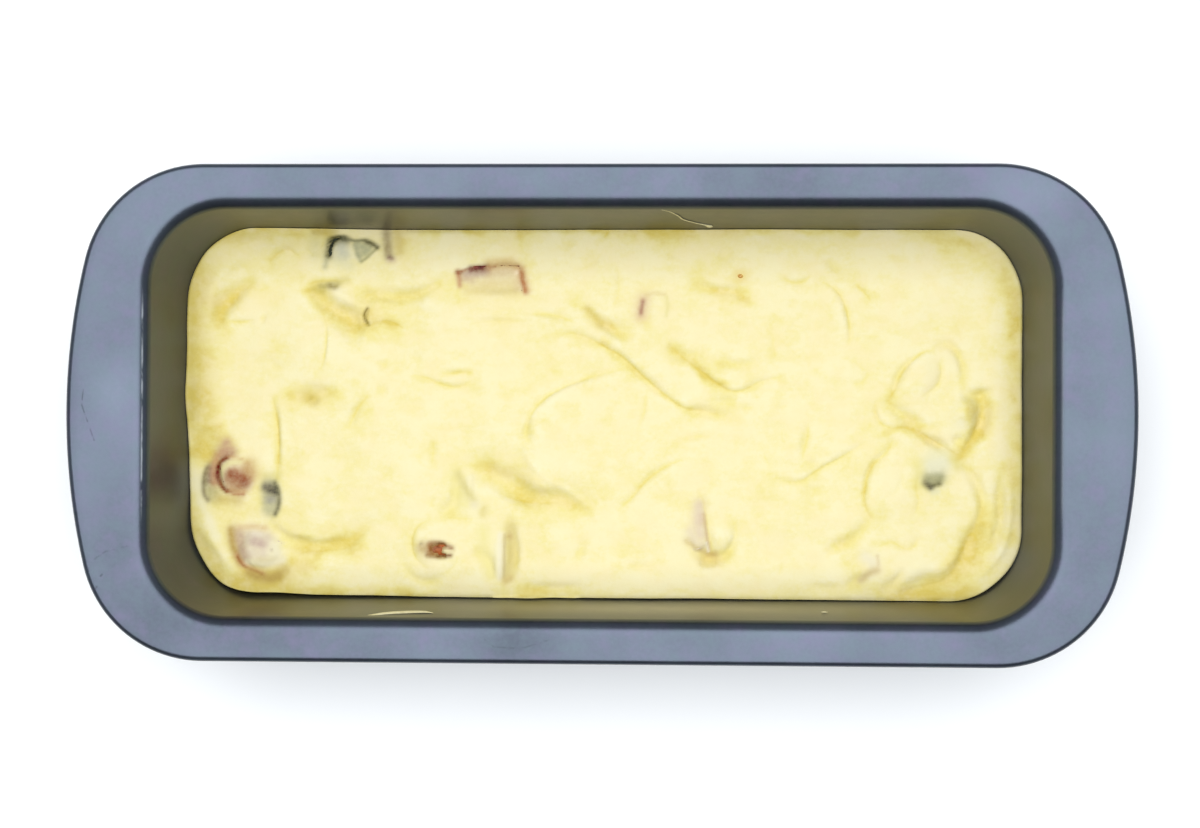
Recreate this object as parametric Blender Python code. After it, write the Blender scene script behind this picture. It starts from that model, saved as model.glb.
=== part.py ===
"""Raw fruit cake batter in its loaf tin.

One pressed steel tin with a wide flat rim and bowed ends, the batter that fills it to a little
over half, and the pieces of candied fruit that show at the top of the batter.  Metres, +Z up,
origin under the middle of the tin's base, +X along the tin.
"""

import math
from collections import namedtuple

import bmesh
import bpy
import numpy as np

MM = 0.001

# ---------------------------------------------------------------- the tin's driving sizes
TIN_HEIGHT = 70 * MM
SHEET = 0.8 * MM

Outline = namedtuple("Outline", "half_length half_width corner end_bow")

STRAIGHT = 10.0
RIM = Outline(150 * MM, 70 * MM, 34.6 * MM, 187 * MM)
OPENING = Outline(126.3 * MM, 57.2 * MM, 21.5 * MM, STRAIGHT)
BASE = Outline(114.8 * MM, 49.4 * MM, 20 * MM, STRAIGHT)

LIP_RADIUS = 4.5 * MM
HEM_RADIUS = 1.6 * MM
HEM_DROP = 3.6 * MM
BASE_RADIUS = 8 * MM
WALL_DRAFT = math.radians(8.5)

# ---------------------------------------------------------------- the batter's driving sizes
BATTER_LEVEL = 39 * MM
BATTER_GAP = 0.5 * MM
BATTER_COLUMNS = 50
BATTER_SIDE_ROWS = 12
BATTER_CORNER_ROWS = 6
EDGE_SLOPE_WIDTH = 7 * MM
EDGE_SLOPE_DROP = 2.2 * MM

# A fold is one stroke of the spoon: a smooth curve through a few points on the batter, the
# half-width and depth of its groove, and how far the batter on its left stands up as a lip.
Fold = namedtuple("Fold", "path width depth lip")

FOLDS = (
    # the long crease across the middle, its twin behind it and the wedge that opens above them
    Fold(((-13, 23), (0, 20), (10, 12.5), (24, 2), (37, 0)), 3.0, 1.3, 0.9),
    Fold(((19, 20), (27, 13.5), (36, 7.5), (47, 10.5)), 3.0, 1.2, 0.8),
    Fold(((-6, 32), (0, 26.5), (9, 21)), 3.0, 1.6, 0.4),
    Fold(((-45, 27), (-25, 27.5), (-8, 25)), 3.0, 0.7, -0.7),
    # the round swirl left by the turn of the spoon
    Fold(((-3, 11), (-14, 7), (-22, -4), (-21, -13), (-10, -22)), 3.0, 0.9, 1.0),
    Fold(((12, 6), (10, -5), (-3, -16)), 3.0, 0.5, 0.5),
    # the wide valley below the swirl and the arc that leaves it
    Fold(((-40, -12), (-28, -20), (-14, -23.5), (-4, -28)), 5.5, 2.4, 0.6),
    Fold(((6, -27), (12, -20), (25, -12.5)), 3.0, 1.0, -0.7),
    # valleys around the candied pieces on the left
    Fold(((-85, 37), (-77, 30), (-69, 25)), 4.5, 2.3, 0.3),
    Fold(((-72, 34), (-58, 34.5), (-45, 39)), 4.0, 1.3, 0.0),
    Fold(((-112, 28), (-109, 34), (-101, 39)), 4.5, 2.0, 0.0),
    Fold(((-91, 6), (-79, 6.5)), 4.0, 1.5, 0.0),
    Fold(((-96, 4), (-94.7, -8), (-94.5, -20)), 3.0, 0.9, 0.9),
    Fold(((-93, -34), (-80, -37.5), (-68, -32)), 4.5, 1.8, -0.6),
    # the loose swirls on the right
    Fold(((83, 4), (87, 12), (95, 18.5), (103, 15), (104, 9)), 3.0, 1.2, 0.6),
    Fold(((80, 5), (88, 1.5), (97, -4)), 4.0, 1.5, 0.5),
    Fold(((109, 8), (110, -1), (103, -11)), 5.0, 3.0, 0.4),
    Fold(((83, -4.5), (91, -5), (103, -11.5), (110, -26), (103, -44), (84, -50)), 3.5, 1.4, 0.6),
    Fold(((83, -8), (76, -20), (78, -30)), 3.0, 1.2, 0.7),
    Fold(((66, 38), (70.5, 29), (71, 21)), 3.0, 0.9, -0.6),
    Fold(((26, 40), (33, 36), (41, 33)), 4.0, 1.2, 0.0),
    Fold(((50, -18), (60, -17.5), (76, -8)), 3.0, 0.9, 0.6),
)
FOLD_STEPS = 14
LIP_REACH = 8 * MM

# ---------------------------------------------------------------- the candied fruit
# A chunk is a rounded block: where its middle is, its three half-sizes, how far it is turned
# about the vertical in degrees, how square it is (2 is an ellipsoid, more is boxy), how far its
# top stands over the batter's mean level, how uneven it is and the colour of its kind.
Chunk = namedtuple("Chunk", "name middle half turn square proud uneven colour")

RED = (0.48, 0.03, 0.03)
BROWN_RED = (0.35, 0.05, 0.02)
GREEN = (0.03, 0.07, 0.04)
PURPLE = (0.16, 0.03, 0.08)
PINK = (0.62, 0.42, 0.42)
PALE = (0.62, 0.58, 0.42)

CHUNKS = (
    Chunk("fruit_green_lobed", (-73.5, 47.8), (7.2, 3.4, 3.6), -4, 2.6, 1.0, 0.10, GREEN),
    Chunk("fruit_green_small", (-79.7, 37.2), (2.9, 1.6, 2.4), 4, 2.2, 0.7, 0.08, GREEN),
    Chunk("fruit_green_dark", (-96.6, -24.2), (2.7, 4.8, 3.6), -6, 2.4, 0.8, 0.10, GREEN),
    Chunk("fruit_green_sunk", (96.0, -16.8), (4.2, 3.6, 3.4), 12, 2.3, 0.6, 0.12, GREEN),
    Chunk("fruit_green_grey", (-38.4, -22.6), (1.9, 6.2, 3.2), 28, 2.4, 0.6, 0.10, GREEN),
    Chunk("fruit_purple_streak", (-62.8, 48.2), (1.7, 3.6, 3.0), 8, 2.4, 0.8, 0.10, PURPLE),
    Chunk("fruit_purple_round", (14.4, 31.0), (4.2, 4.6, 4.0), 0, 2.2, 0.7, 0.06, PURPLE),
    Chunk("fruit_violet", (-116.0, -21.8), (1.7, 5.0, 3.4), -8, 2.3, 0.7, 0.05, PURPLE),
    Chunk("fruit_red_slab", (-32.4, 39.4), (9.7, 4.6, 3.8), 3, 4.5, 1.2, 0.03, RED),
    Chunk("fruit_cherry", (-107.3, -17.0), (5.4, 7.0, 5.4), 10, 2.1, 2.2, 0.05, RED),
    Chunk("fruit_red_brown", (-48.4, -39.3), (4.9, 2.8, 3.4), 2, 2.3, 0.5, 0.10, BROWN_RED),
    Chunk("fruit_pink_lump", (-99.6, -40.0), (7.0, 5.8, 5.0), -24, 2.3, 2.0, 0.08, PINK),
    Chunk("fruit_pink_pale", (76.0, -43.4), (3.9, 4.2, 3.6), 10, 2.2, 0.9, 0.10, PINK),
    Chunk("fruit_lilac_wedge", (28.0, -33.0), (3.6, 6.8, 4.0), 14, 2.6, 1.0, 0.12, PINK),
    Chunk("fruit_pale_slab", (-30.2, -41.5), (2.4, 7.0, 4.4), 3, 3.4, 1.1, 0.04, PALE),
)
CHUNK_POINTS = 12
CHUNK_RINGS = 6
CHUNK_GAP = 0.35 * MM
POCKET_TOP = 12 * MM


# ---------------------------------------------------------------- scene helpers
def clear_scene():
    """Remove whatever objects the scene starts with."""
    for obj in list(bpy.data.objects):
        bpy.data.objects.remove(obj, do_unlink=True)


def add_material(name, colour, roughness, metallic=0.0):
    """A Principled material of one colour."""
    material = bpy.data.materials.new(name)
    material.use_nodes = True
    shader = material.node_tree.nodes["Principled BSDF"]
    shader.inputs["Base Color"].default_value = (*colour, 1.0)
    shader.inputs["Roughness"].default_value = roughness
    shader.inputs["Metallic"].default_value = metallic
    return material


def add_object(name, body, material=None, smooth_angle=math.radians(40)):
    """Make an object from a bmesh, shaded smooth up to smooth_angle."""
    mesh = bpy.data.meshes.new(name)
    body.to_mesh(mesh)
    body.free()
    mesh.shade_smooth()
    mesh.set_sharp_from_angle(angle=smooth_angle)
    obj = bpy.data.objects.new(name, mesh)
    bpy.context.scene.collection.objects.link(obj)
    if material:
        mesh.materials.append(material)
    return obj


# ---------------------------------------------------------------- outlines
def offset(outline, distance):
    """The outline moved outwards by distance, every arc keeping its centre."""
    return Outline(*(size + distance for size in outline))


def mix(first, second, share):
    """The outline that lies share of the way from first to second."""
    return Outline(*(a + (b - a) * share for a, b in zip(first, second)))


def quarter(outline, end_steps=3, corner_steps=6, side_steps=5):
    """Points of the +X +Y quarter: half of the bowed end, the corner, half of the side."""
    half_length, half_width, corner, bow = outline
    bow_centre = half_length - bow
    corner_y = half_width - corner
    corner_x = bow_centre + math.sqrt((bow - corner) ** 2 - corner_y ** 2)
    meet = math.atan2(corner_y, corner_x - bow_centre)
    points = []
    for step in range(end_steps):
        angle = meet * step / end_steps
        points.append((bow_centre + bow * math.cos(angle), bow * math.sin(angle)))
    for step in range(corner_steps):
        angle = meet + (math.pi / 2 - meet) * step / corner_steps
        points.append((corner_x + corner * math.cos(angle), corner_y + corner * math.sin(angle)))
    for step in range(side_steps):
        points.append((corner_x * (1 - step / side_steps), half_width))
    return points


def loop_points(outline):
    """The whole outline, counter-clockwise from the middle of the +X end."""
    first = quarter(outline)
    middle_top = (0.0, outline.half_width)
    second = [(-x, y) for x, y in reversed(first[1:])]
    half = first + [middle_top] + second
    return half + [(-x, -y) for x, y in half]


# ---------------------------------------------------------------- the tin
def tin_rings():
    """The tin's upper face as (outline, height) rings, from the hem's edge in to the floor."""
    rings = [(RIM, TIN_HEIGHT - HEM_DROP)]
    for turn in (0, 45, 90):
        angle = math.radians(turn)
        inwards = HEM_RADIUS * (1 - math.cos(angle))
        rings.append((offset(RIM, -inwards), TIN_HEIGHT - HEM_RADIUS * (1 - math.sin(angle))))
    for turn in (0, 27, 54, 81):
        angle = math.radians(turn)
        outwards = LIP_RADIUS * (1 - math.sin(angle))
        rings.append((offset(OPENING, outwards), TIN_HEIGHT - LIP_RADIUS * (1 - math.cos(angle))))
    wall_top = rings[-1]
    wall_foot = SHEET + BASE_RADIUS * (1 - math.sin(WALL_DRAFT))
    rings.append((mix(wall_top[0], BASE, 0.5), (wall_top[1] + wall_foot) / 2))
    for step in range(5):
        angle = WALL_DRAFT + (math.pi / 2 - WALL_DRAFT) * step / 4
        inwards = BASE_RADIUS * (math.cos(WALL_DRAFT) - math.cos(angle))
        rings.append((offset(BASE, -inwards), SHEET + BASE_RADIUS * (1 - math.sin(angle))))
    return rings


def add_tin(material):
    """The pressed tin: its upper face bridged ring by ring, then given the sheet's thickness."""
    body = bmesh.new()
    loops = []
    for outline, height in tin_rings():
        loops.append([body.verts.new((x, y, height)) for x, y in loop_points(outline)])
    count = len(loops[0])
    for outer, inner in zip(loops, loops[1:]):
        for here in range(count):
            following = (here + 1) % count
            body.faces.new((outer[here], outer[following], inner[following], inner[here]))
    body.faces.new(loops[-1])
    tin = add_object("loaf_tin", body, material)
    wall = tin.modifiers.new("sheet", "SOLIDIFY")
    wall.thickness = SHEET
    wall.offset = -1
    wall.use_even_offset = True
    return tin


# ---------------------------------------------------------------- the shape of the batter
def smooth_curve(path):
    """A smooth curve through the path's points, as an array of points in metres."""
    knots = np.array(path, float) * MM
    knots = np.vstack([2 * knots[0] - knots[1], knots, 2 * knots[-1] - knots[-2]])
    share = np.linspace(0, 1, FOLD_STEPS, endpoint=False)[:, None]
    spans = []
    for a, b, c, d in zip(knots, knots[1:], knots[2:], knots[3:]):
        spans.append(0.5 * (2 * b + (c - a) * share + (2 * a - 5 * b + 4 * c - d) * share ** 2
                            + (3 * b - a - 3 * c + d) * share ** 3))
    return np.vstack([*spans, knots[-2:-1]])


def along_curve(curve, places):
    """For each place: its distance from the curve, which side it is on and how far along."""
    starts = curve[:-1]
    spans = curve[1:] - starts
    lengths = np.linalg.norm(spans, axis=1)
    reach = places[:, None] - starts[None]
    share = np.clip((reach * spans).sum(-1) / lengths ** 2, 0, 1)
    away = reach - share[..., None] * spans
    distance = np.linalg.norm(away, axis=-1)
    nearest = distance.argmin(1)
    pick = np.arange(len(places)), nearest
    side = np.sign(spans[nearest, 0] * away[pick][:, 1] - spans[nearest, 1] * away[pick][:, 0])
    travelled = np.concatenate([[0], np.cumsum(lengths)])
    part = (travelled[nearest] + share[pick] * lengths[nearest]) / travelled[-1]
    return distance[pick], side, part


def fold_relief(fold, places):
    """How far one fold lowers or lifts the batter at each place."""
    distance, side, part = along_curve(smooth_curve(fold.path), places)
    fade = np.sin(math.pi * np.clip(part, 0.02, 0.98)) ** 0.6
    groove = -fold.depth * MM * np.exp(-(distance / (fold.width * MM)) ** 2)
    lip = fold.lip * MM * np.exp(-(distance / LIP_REACH) ** 2) * (side * math.copysign(1, fold.lip) > 0)
    return fade * (groove + np.abs(lip))


def edge_distance(places, outline):
    """How far each place is inside a rounded rectangle."""
    beyond = np.abs(places) - (np.array(outline[:2]) - outline.corner)
    outside = np.linalg.norm(np.maximum(beyond, 0), axis=1)
    return outline.corner - outside - np.minimum(beyond.max(axis=1), 0)


def batter_height(places):
    """The height of the batter's top at each place."""
    height = np.full(len(places), BATTER_LEVEL)
    inside = edge_distance(places, cavity(BATTER_LEVEL))
    height -= EDGE_SLOPE_DROP * np.exp(-(inside / EDGE_SLOPE_WIDTH) ** 2)
    for fold in FOLDS:
        height += fold_relief(fold, places)
    return height


def cavity(height):
    """The outline that the batter fills at a height, a small gap clear of the tin."""
    wall_top = TIN_HEIGHT - LIP_RADIUS
    wall_foot = SHEET + BASE_RADIUS * (1 - math.sin(WALL_DRAFT))
    if height >= wall_foot:
        share = (wall_top - height) / (wall_top - wall_foot)
        return offset(mix(OPENING, BASE, share), -BATTER_GAP)
    turned = math.asin(min(1.0, 1 - (height - SHEET - BATTER_GAP) / BASE_RADIUS))
    inwards = BASE_RADIUS * (math.cos(WALL_DRAFT) - math.cos(turned))
    return offset(BASE, -max(inwards, 0) - BATTER_GAP)


def row_shares():
    """The rows of the batter's grid from front to back: even on the sides, by angle in corners."""
    corner = [1 - step / BATTER_CORNER_ROWS for step in range(BATTER_CORNER_ROWS)]
    side = np.linspace(-1, 1, BATTER_SIDE_ROWS + 1)
    rows = [("corner", -turn) for turn in corner]
    rows += [("side", share) for share in side]
    rows += [("corner", turn) for turn in reversed(corner)]
    return rows


def grid_place(row, column, outline):
    """Where a grid point lies when the grid is fitted to an outline."""
    kind, share = row
    straight = outline.half_width - outline.corner
    if kind == "side":
        return column * outline.half_length, share * straight
    angle = abs(share) * math.pi / 2
    reach = outline.half_length - outline.corner * (1 - math.cos(angle))
    return column * reach, math.copysign(straight + outline.corner * math.sin(angle), share)


def add_batter(material):
    """The batter: a top grid fitted to the tin, its rim carried down the wall and closed."""
    rows = row_shares()
    columns = np.linspace(-1, 1, BATTER_COLUMNS + 1)
    keys = [(row, column) for row in rows for column in columns]
    level = np.array([grid_place(row, column, cavity(BATTER_LEVEL)) for row, column in keys])
    heights = batter_height(level)
    body = bmesh.new()
    top = []
    for (row, column), height in zip(keys, heights):
        x, y = grid_place(row, column, cavity(height))
        top.append(body.verts.new((x, y, height)))
    width = len(columns)
    for row in range(len(rows) - 1):
        for column in range(width - 1):
            here = row * width + column
            body.faces.new((top[here], top[here + 1], top[here + width + 1], top[here + width]))
    last = len(top) - 1
    rim = list(range(width)) + list(range(2 * width - 1, last, width))
    rim += list(range(last, last - width, -1)) + list(range(last - 2 * width + 1, 0, -width))
    upper = [top[index] for index in rim]
    rim_heights = [heights[index] for index in rim]
    floor = SHEET + BATTER_GAP
    for share in (0.35, 0.12, 0.03, 0.0):
        lower = []
        for index, height in zip(rim, rim_heights):
            z = floor + (height - floor) * share
            x, y = grid_place(*keys[index], cavity(z))
            lower.append(body.verts.new((x, y, z)))
        for here in range(len(rim)):
            following = (here + 1) % len(rim)
            body.faces.new((upper[here], lower[here], lower[following], upper[following]))
        upper = lower
    body.faces.new(list(reversed(upper)))
    return add_object("batter", body, material)


# ---------------------------------------------------------------- the candied fruit
def chunk_radius(chunk, angle):
    """The chunk's outline as a share of its half-sizes, with a slow seeded unevenness."""
    seed = sum(ord(letter) for letter in chunk.name)
    wobble = math.sin(2 * angle + seed) + 0.6 * math.sin(3 * angle + 1.7 * seed)
    squared = (abs(math.cos(angle)) ** chunk.square + abs(math.sin(angle)) ** chunk.square)
    return squared ** (-1 / chunk.square) * (1 + chunk.uneven * wobble)


def chunk_ring(chunk, size, grow):
    """One ring of the chunk at a share of its full size, grown outwards by a distance."""
    turn = math.radians(chunk.turn)
    points = []
    for step in range(CHUNK_POINTS):
        angle = 2 * math.pi * step / CHUNK_POINTS
        radius = chunk_radius(chunk, angle) * size
        x = (chunk.half[0] * MM * radius + grow) * math.cos(angle)
        y = (chunk.half[1] * MM * radius + grow) * math.sin(angle)
        points.append((chunk.middle[0] * MM + x * math.cos(turn) - y * math.sin(turn),
                       chunk.middle[1] * MM + x * math.sin(turn) + y * math.cos(turn)))
    return points


def chunk_levels(chunk):
    """Heights and sizes of the chunk's rings, from its lowest point to its highest."""
    middle = BATTER_LEVEL + (chunk.proud - chunk.half[2]) * MM
    levels = []
    for step in range(CHUNK_RINGS + 1):
        angle = -math.pi / 2 + math.pi * step / CHUNK_RINGS
        size = abs(math.cos(angle)) ** (2 / chunk.square)
        rise = math.copysign(abs(math.sin(angle)) ** (2 / chunk.square), angle)
        levels.append((middle + chunk.half[2] * MM * rise, size))
    return levels


def closed_stack(rings):
    """A closed body from a stack of equal rings, flat or pointed at its two ends."""
    body = bmesh.new()
    loops = [[body.verts.new((x, y, z)) for x, y in points] for points, z in rings]
    count = len(loops[0])
    for lower, upper in zip(loops, loops[1:]):
        for here in range(count):
            following = (here + 1) % count
            body.faces.new((lower[here], lower[following], upper[following], upper[here]))
    body.faces.new(list(reversed(loops[0])))
    body.faces.new(loops[-1])
    return body


def add_chunk(chunk, material):
    """One piece of fruit: rings of a rounded block, closed by a small flat at each end."""
    end_size = 0.35
    levels = chunk_levels(chunk)
    rings = [(chunk_ring(chunk, max(size, end_size), 0), z) for z, size in levels]
    return add_object(chunk.name, closed_stack(rings), material)


def add_pocket(chunk):
    """The cutter for a chunk's pocket: the chunk grown by the gap and open to the top."""
    end_size = 0.35
    widest = BATTER_LEVEL + (chunk.proud - chunk.half[2]) * MM
    rings = []
    for z, size in chunk_levels(chunk):
        if z < widest - 0.1 * MM:
            rings.append((chunk_ring(chunk, max(size, end_size), CHUNK_GAP), z - CHUNK_GAP))
    for z in (widest, BATTER_LEVEL + POCKET_TOP):
        rings.append((chunk_ring(chunk, 1, CHUNK_GAP), z))
    cutter = add_object(chunk.name + "_pocket", closed_stack(rings))
    cutter.hide_render = True
    cutter.display_type = "WIRE"
    return cutter


def cut_pocket(batter, cutter):
    """Take a pocket out of the batter."""
    cut = batter.modifiers.new(cutter.name, "BOOLEAN")
    cut.operation = "DIFFERENCE"
    cut.solver = "EXACT"
    cut.object = cutter


def main():
    """Build the tin, the batter and every piece of fruit."""
    clear_scene()
    add_tin(add_material("nonstick_coating", (0.09, 0.10, 0.13), 0.42, 0.5))
    batter = add_batter(add_material("batter", (0.93, 0.86, 0.55), 0.45))
    for chunk in CHUNKS:
        material = add_material(chunk.name, chunk.colour, 0.3)
        add_chunk(chunk, material)
        cut_pocket(batter, add_pocket(chunk))


main()
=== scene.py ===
"""Raw fruit cake batter in its loaf tin: finishes, relief, fruit and light.

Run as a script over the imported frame.  Every size is in metres unless its name or comment says
millimetres; +X runs along the tin, +Y to its back, +Z up, and the table is at z = 0.
"""

import math
from collections import namedtuple

import bmesh
import bpy
import numpy as np
from bpy.props import FloatProperty, FloatVectorProperty, IntProperty, PointerProperty
from mathutils import Matrix, Vector
from mathutils.bvhtree import BVHTree


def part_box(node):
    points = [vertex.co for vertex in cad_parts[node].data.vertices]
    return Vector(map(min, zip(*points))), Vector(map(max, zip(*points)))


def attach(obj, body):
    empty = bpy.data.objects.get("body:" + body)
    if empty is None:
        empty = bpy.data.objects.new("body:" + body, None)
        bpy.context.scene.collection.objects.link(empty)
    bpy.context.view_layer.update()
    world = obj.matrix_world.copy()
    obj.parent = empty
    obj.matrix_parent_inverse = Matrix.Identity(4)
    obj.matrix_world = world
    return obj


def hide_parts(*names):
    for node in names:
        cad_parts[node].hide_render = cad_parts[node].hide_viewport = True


bl_info = {
    "name": "Fruit cake loaf",
    "version": (1, 0, 0),
    "blender": (4, 5, 0),
    "location": "3D View > Sidebar > Fruit loaf",
    "description": "Raw fruit cake batter in a non-stick loaf tin",
    "category": "Add Mesh",
}

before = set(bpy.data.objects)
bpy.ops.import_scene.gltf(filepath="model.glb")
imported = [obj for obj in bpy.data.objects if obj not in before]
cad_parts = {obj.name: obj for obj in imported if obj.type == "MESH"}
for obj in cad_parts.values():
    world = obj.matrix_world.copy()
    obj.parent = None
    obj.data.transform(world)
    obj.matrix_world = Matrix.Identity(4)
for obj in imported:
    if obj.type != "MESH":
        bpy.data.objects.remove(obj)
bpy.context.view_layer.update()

MM = 0.001
TIN_LOW, TIN_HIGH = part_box("loaf_tin")


def srgb(red, green, blue):
    """A display colour from 0 to 255 as the linear colour that a finish takes."""
    shares = (red / 255, green / 255, blue / 255)
    return tuple(s / 12.92 if s < 0.04045 else ((s + 0.055) / 1.055) ** 2.4 for s in shares)


def seen(red, green, blue):
    """The colour of a finish that shows as this display colour in the stage's light."""
    return tuple(max(0.004, (share - 0.03) / 1.32) for share in srgb(red, green, blue))


# ---------------------------------------------------------------- settings
class LoafTinSettings(bpy.types.PropertyGroup):
    """Sizes and coating of the pressed tin."""

    height: FloatProperty(
        name="Height", description="From the table to the flat of the rim",
        default=TIN_HIGH.z, unit="LENGTH")
    sheet: FloatProperty(
        name="Sheet", description="Thickness of the steel",
        default=0.8 * MM, unit="LENGTH")
    lip_radius: FloatProperty(
        name="Lip radius", description="Roll from the flat rim down into the wall",
        default=4.5 * MM, unit="LENGTH")
    hem_radius: FloatProperty(
        name="Hem radius", description="Roll at the outer edge of the rim",
        default=1.6 * MM, unit="LENGTH")
    hem_drop: FloatProperty(
        name="Hem drop", description="How far the rolled hem hangs below the rim",
        default=3.6 * MM, unit="LENGTH")
    base_radius: FloatProperty(
        name="Base radius", description="Roll from the wall into the base",
        default=8 * MM, unit="LENGTH")
    wall_draft: FloatProperty(
        name="Wall draft", description="How far the walls lean outwards",
        default=math.radians(8.5), unit="ROTATION", subtype="ANGLE")
    coating: FloatVectorProperty(
        name="Coating", description="Colour of the non-stick coating",
        default=(0.076, 0.091, 0.121), size=3, subtype="COLOR", min=0, max=1)
    roughness: FloatProperty(
        name="Roughness", description="Roughness of the clean coating",
        default=0.33, min=0, max=1)


class BatterSettings(bpy.types.PropertyGroup):
    """Level, mesh and colours of the batter."""

    level: FloatProperty(
        name="Level", description="Mean height of the batter's top above the table",
        default=39 * MM, unit="LENGTH")
    gap: FloatProperty(
        name="Gap", description="Clearance between the batter and the tin",
        default=0.2 * MM, unit="LENGTH")
    columns: IntProperty(
        name="Columns", description="Grid cells along the tin", default=436, min=40)
    rows: IntProperty(
        name="Rows", description="Grid cells across the tin", default=188, min=20)
    cream: FloatVectorProperty(
        name="Cream", description="Colour of the batter",
        default=(0.688, 0.622, 0.336), size=3, subtype="COLOR", min=0, max=1)
    # painted highlight: crest is the paler colour laid on the raised crests of the batter for the light
    # falling on them; the wall smears also use it as their paler tone
    crest: FloatVectorProperty(
        name="Crest", description="Colour of the aerated crests",
        default=(0.700, 0.652, 0.414), size=3, subtype="COLOR", min=0, max=1)
    # lemon and golden are the ramp along which painted shade darkens the batter in hollows, along creases
    # and under tints, and along which its random mottle also moves
    lemon: FloatVectorProperty(
        name="Lemon", description="Colour of the slightly richer streaks",
        default=(0.655, 0.582, 0.232), size=3, subtype="COLOR", min=0, max=1)
    rosy: FloatVectorProperty(
        name="Rosy", description="Colour of the faintly warmer cloudy patches",
        default=(0.700, 0.612, 0.345), size=3, subtype="COLOR", min=0, max=1)
    # painted shade: golden is the colour of the most shaded valleys
    golden: FloatVectorProperty(
        name="Golden", description="Colour of the buttery valleys",
        default=(0.570, 0.458, 0.102), size=3, subtype="COLOR", min=0, max=1)
    roughness: FloatProperty(
        name="Roughness", description="Roughness of the batter", default=0.42, min=0, max=1)


class FruitSettings(bpy.types.PropertyGroup):
    """Colours of the candied fruit."""

    green: FloatVectorProperty(
        name="Green", description="Dark green candied fruit",
        default=(0.024, 0.030, 0.018), size=3, subtype="COLOR", min=0, max=1)
    purple: FloatVectorProperty(
        name="Purple", description="Purple candied fruit",
        default=(0.20, 0.085, 0.052), size=3, subtype="COLOR", min=0, max=1)
    red: FloatVectorProperty(
        name="Red", description="Red cherry and slab",
        default=(0.125, 0.018, 0.008), size=3, subtype="COLOR", min=0, max=1)
    brown_red: FloatVectorProperty(
        name="Brown red", description="Red-brown candied peel",
        default=(0.24, 0.064, 0.014), size=3, subtype="COLOR", min=0, max=1)
    pink: FloatVectorProperty(
        name="Pink", description="Pink and lilac candied fruit",
        default=(0.52, 0.43, 0.325), size=3, subtype="COLOR", min=0, max=1)
    pale: FloatVectorProperty(
        name="Pale", description="Pale candied peel",
        default=(0.625, 0.565, 0.356), size=3, subtype="COLOR", min=0, max=1)
    roughness: FloatProperty(
        name="Roughness", description="Roughness of the syrupy surface",
        default=0.28, min=0, max=1)


class StageSettings(bpy.types.PropertyGroup):
    """Camera, light and table."""

    lens: FloatProperty(
        name="Lens", description="Focal length in millimetres", default=84.05)
    lamp_side: FloatProperty(
        name="Softbox side", description="Side of the square softbox overhead",
        default=1.7, unit="LENGTH")
    lamp_height: FloatProperty(
        name="Softbox height", description="Height of the softbox above the table",
        default=1.35, unit="LENGTH")
    lamp_power: FloatProperty(
        name="Softbox power", description="Power of the softbox in watts", default=30.6)
    room: FloatProperty(
        name="Room light", description="Strength of the light from the room", default=0.285)
    table: FloatVectorProperty(
        name="Table", description="Colour of the white table",
        default=(0.955, 0.98, 1.0), size=3, subtype="COLOR", min=0, max=1)


class FruitLoafSettings(bpy.types.PropertyGroup):
    """Everything that the panel shows."""

    tin: PointerProperty(type=LoafTinSettings)
    batter: PointerProperty(type=BatterSettings)
    fruit: PointerProperty(type=FruitSettings)
    stage: PointerProperty(type=StageSettings)


# ---------------------------------------------------------------- outlines of the tin
Outline = namedtuple("Outline", "half_length half_width corner end_bow")

STRAIGHT = 10.0
RIM = Outline(150 * MM, 70 * MM, 34.6 * MM, 187 * MM)
OPENING = Outline(126.3 * MM, 57.2 * MM, 21.5 * MM, STRAIGHT)
BASE = Outline(114.8 * MM, 49.4 * MM, 20 * MM, STRAIGHT)


def grow(outline, distance):
    """The outline moved outwards by a distance, every arc keeping its centre."""
    return Outline(*(size + distance for size in outline))


def quarter(outline, end_steps, corner_steps, side_steps):
    """Points of the +X +Y quarter: half of the bowed end, the corner, half of the side."""
    half_length, half_width, corner, bow = outline
    bow_centre = half_length - bow
    corner_y = half_width - corner
    corner_x = bow_centre + math.sqrt((bow - corner) ** 2 - corner_y ** 2)
    meet = math.atan2(corner_y, corner_x - bow_centre)
    points = []
    for step in range(end_steps):
        angle = meet * step / end_steps
        points.append((bow_centre + bow * math.cos(angle), bow * math.sin(angle)))
    for step in range(corner_steps):
        angle = meet + (math.pi / 2 - meet) * step / corner_steps
        points.append((corner_x + corner * math.cos(angle), corner_y + corner * math.sin(angle)))
    for step in range(side_steps):
        points.append((corner_x * (1 - step / side_steps), half_width))
    return points


def outline_points(outline, end_steps=14, corner_steps=22, side_steps=24):
    """The whole outline, counter-clockwise from the middle of the +X end."""
    first = quarter(outline, end_steps, corner_steps, side_steps)
    second = [(-x, y) for x, y in reversed(first[1:])]
    half = first + [(0.0, outline.half_width)] + second
    return half + [(-x, -y) for x, y in half]


# ---------------------------------------------------------------- modelling helpers
def choose(obj):
    """Leave only this object selected and active, in object mode."""
    if bpy.context.object and bpy.context.object.mode != "OBJECT":
        bpy.ops.object.mode_set(mode="OBJECT")
    bpy.ops.object.select_all(action="DESELECT")
    obj.select_set(True)
    bpy.context.view_layer.objects.active = obj


def start_piece(name):
    """Name the primitive that was just added."""
    obj = bpy.context.object
    obj.name = name
    obj.data.name = name
    return obj


def deselect_first():
    """Deselect everything before a primitive is added."""
    bpy.ops.object.select_all(action="DESELECT")


def apply_modifiers(obj):
    """Apply every modifier of the object, first to last."""
    choose(obj)
    for modifier in list(obj.modifiers):
        bpy.ops.object.modifier_apply(modifier=modifier.name)


def apply_place(obj):
    """Put the object's place, turn and size into its mesh."""
    choose(obj)
    bpy.ops.object.transform_apply(location=True, rotation=True, scale=True)


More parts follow.
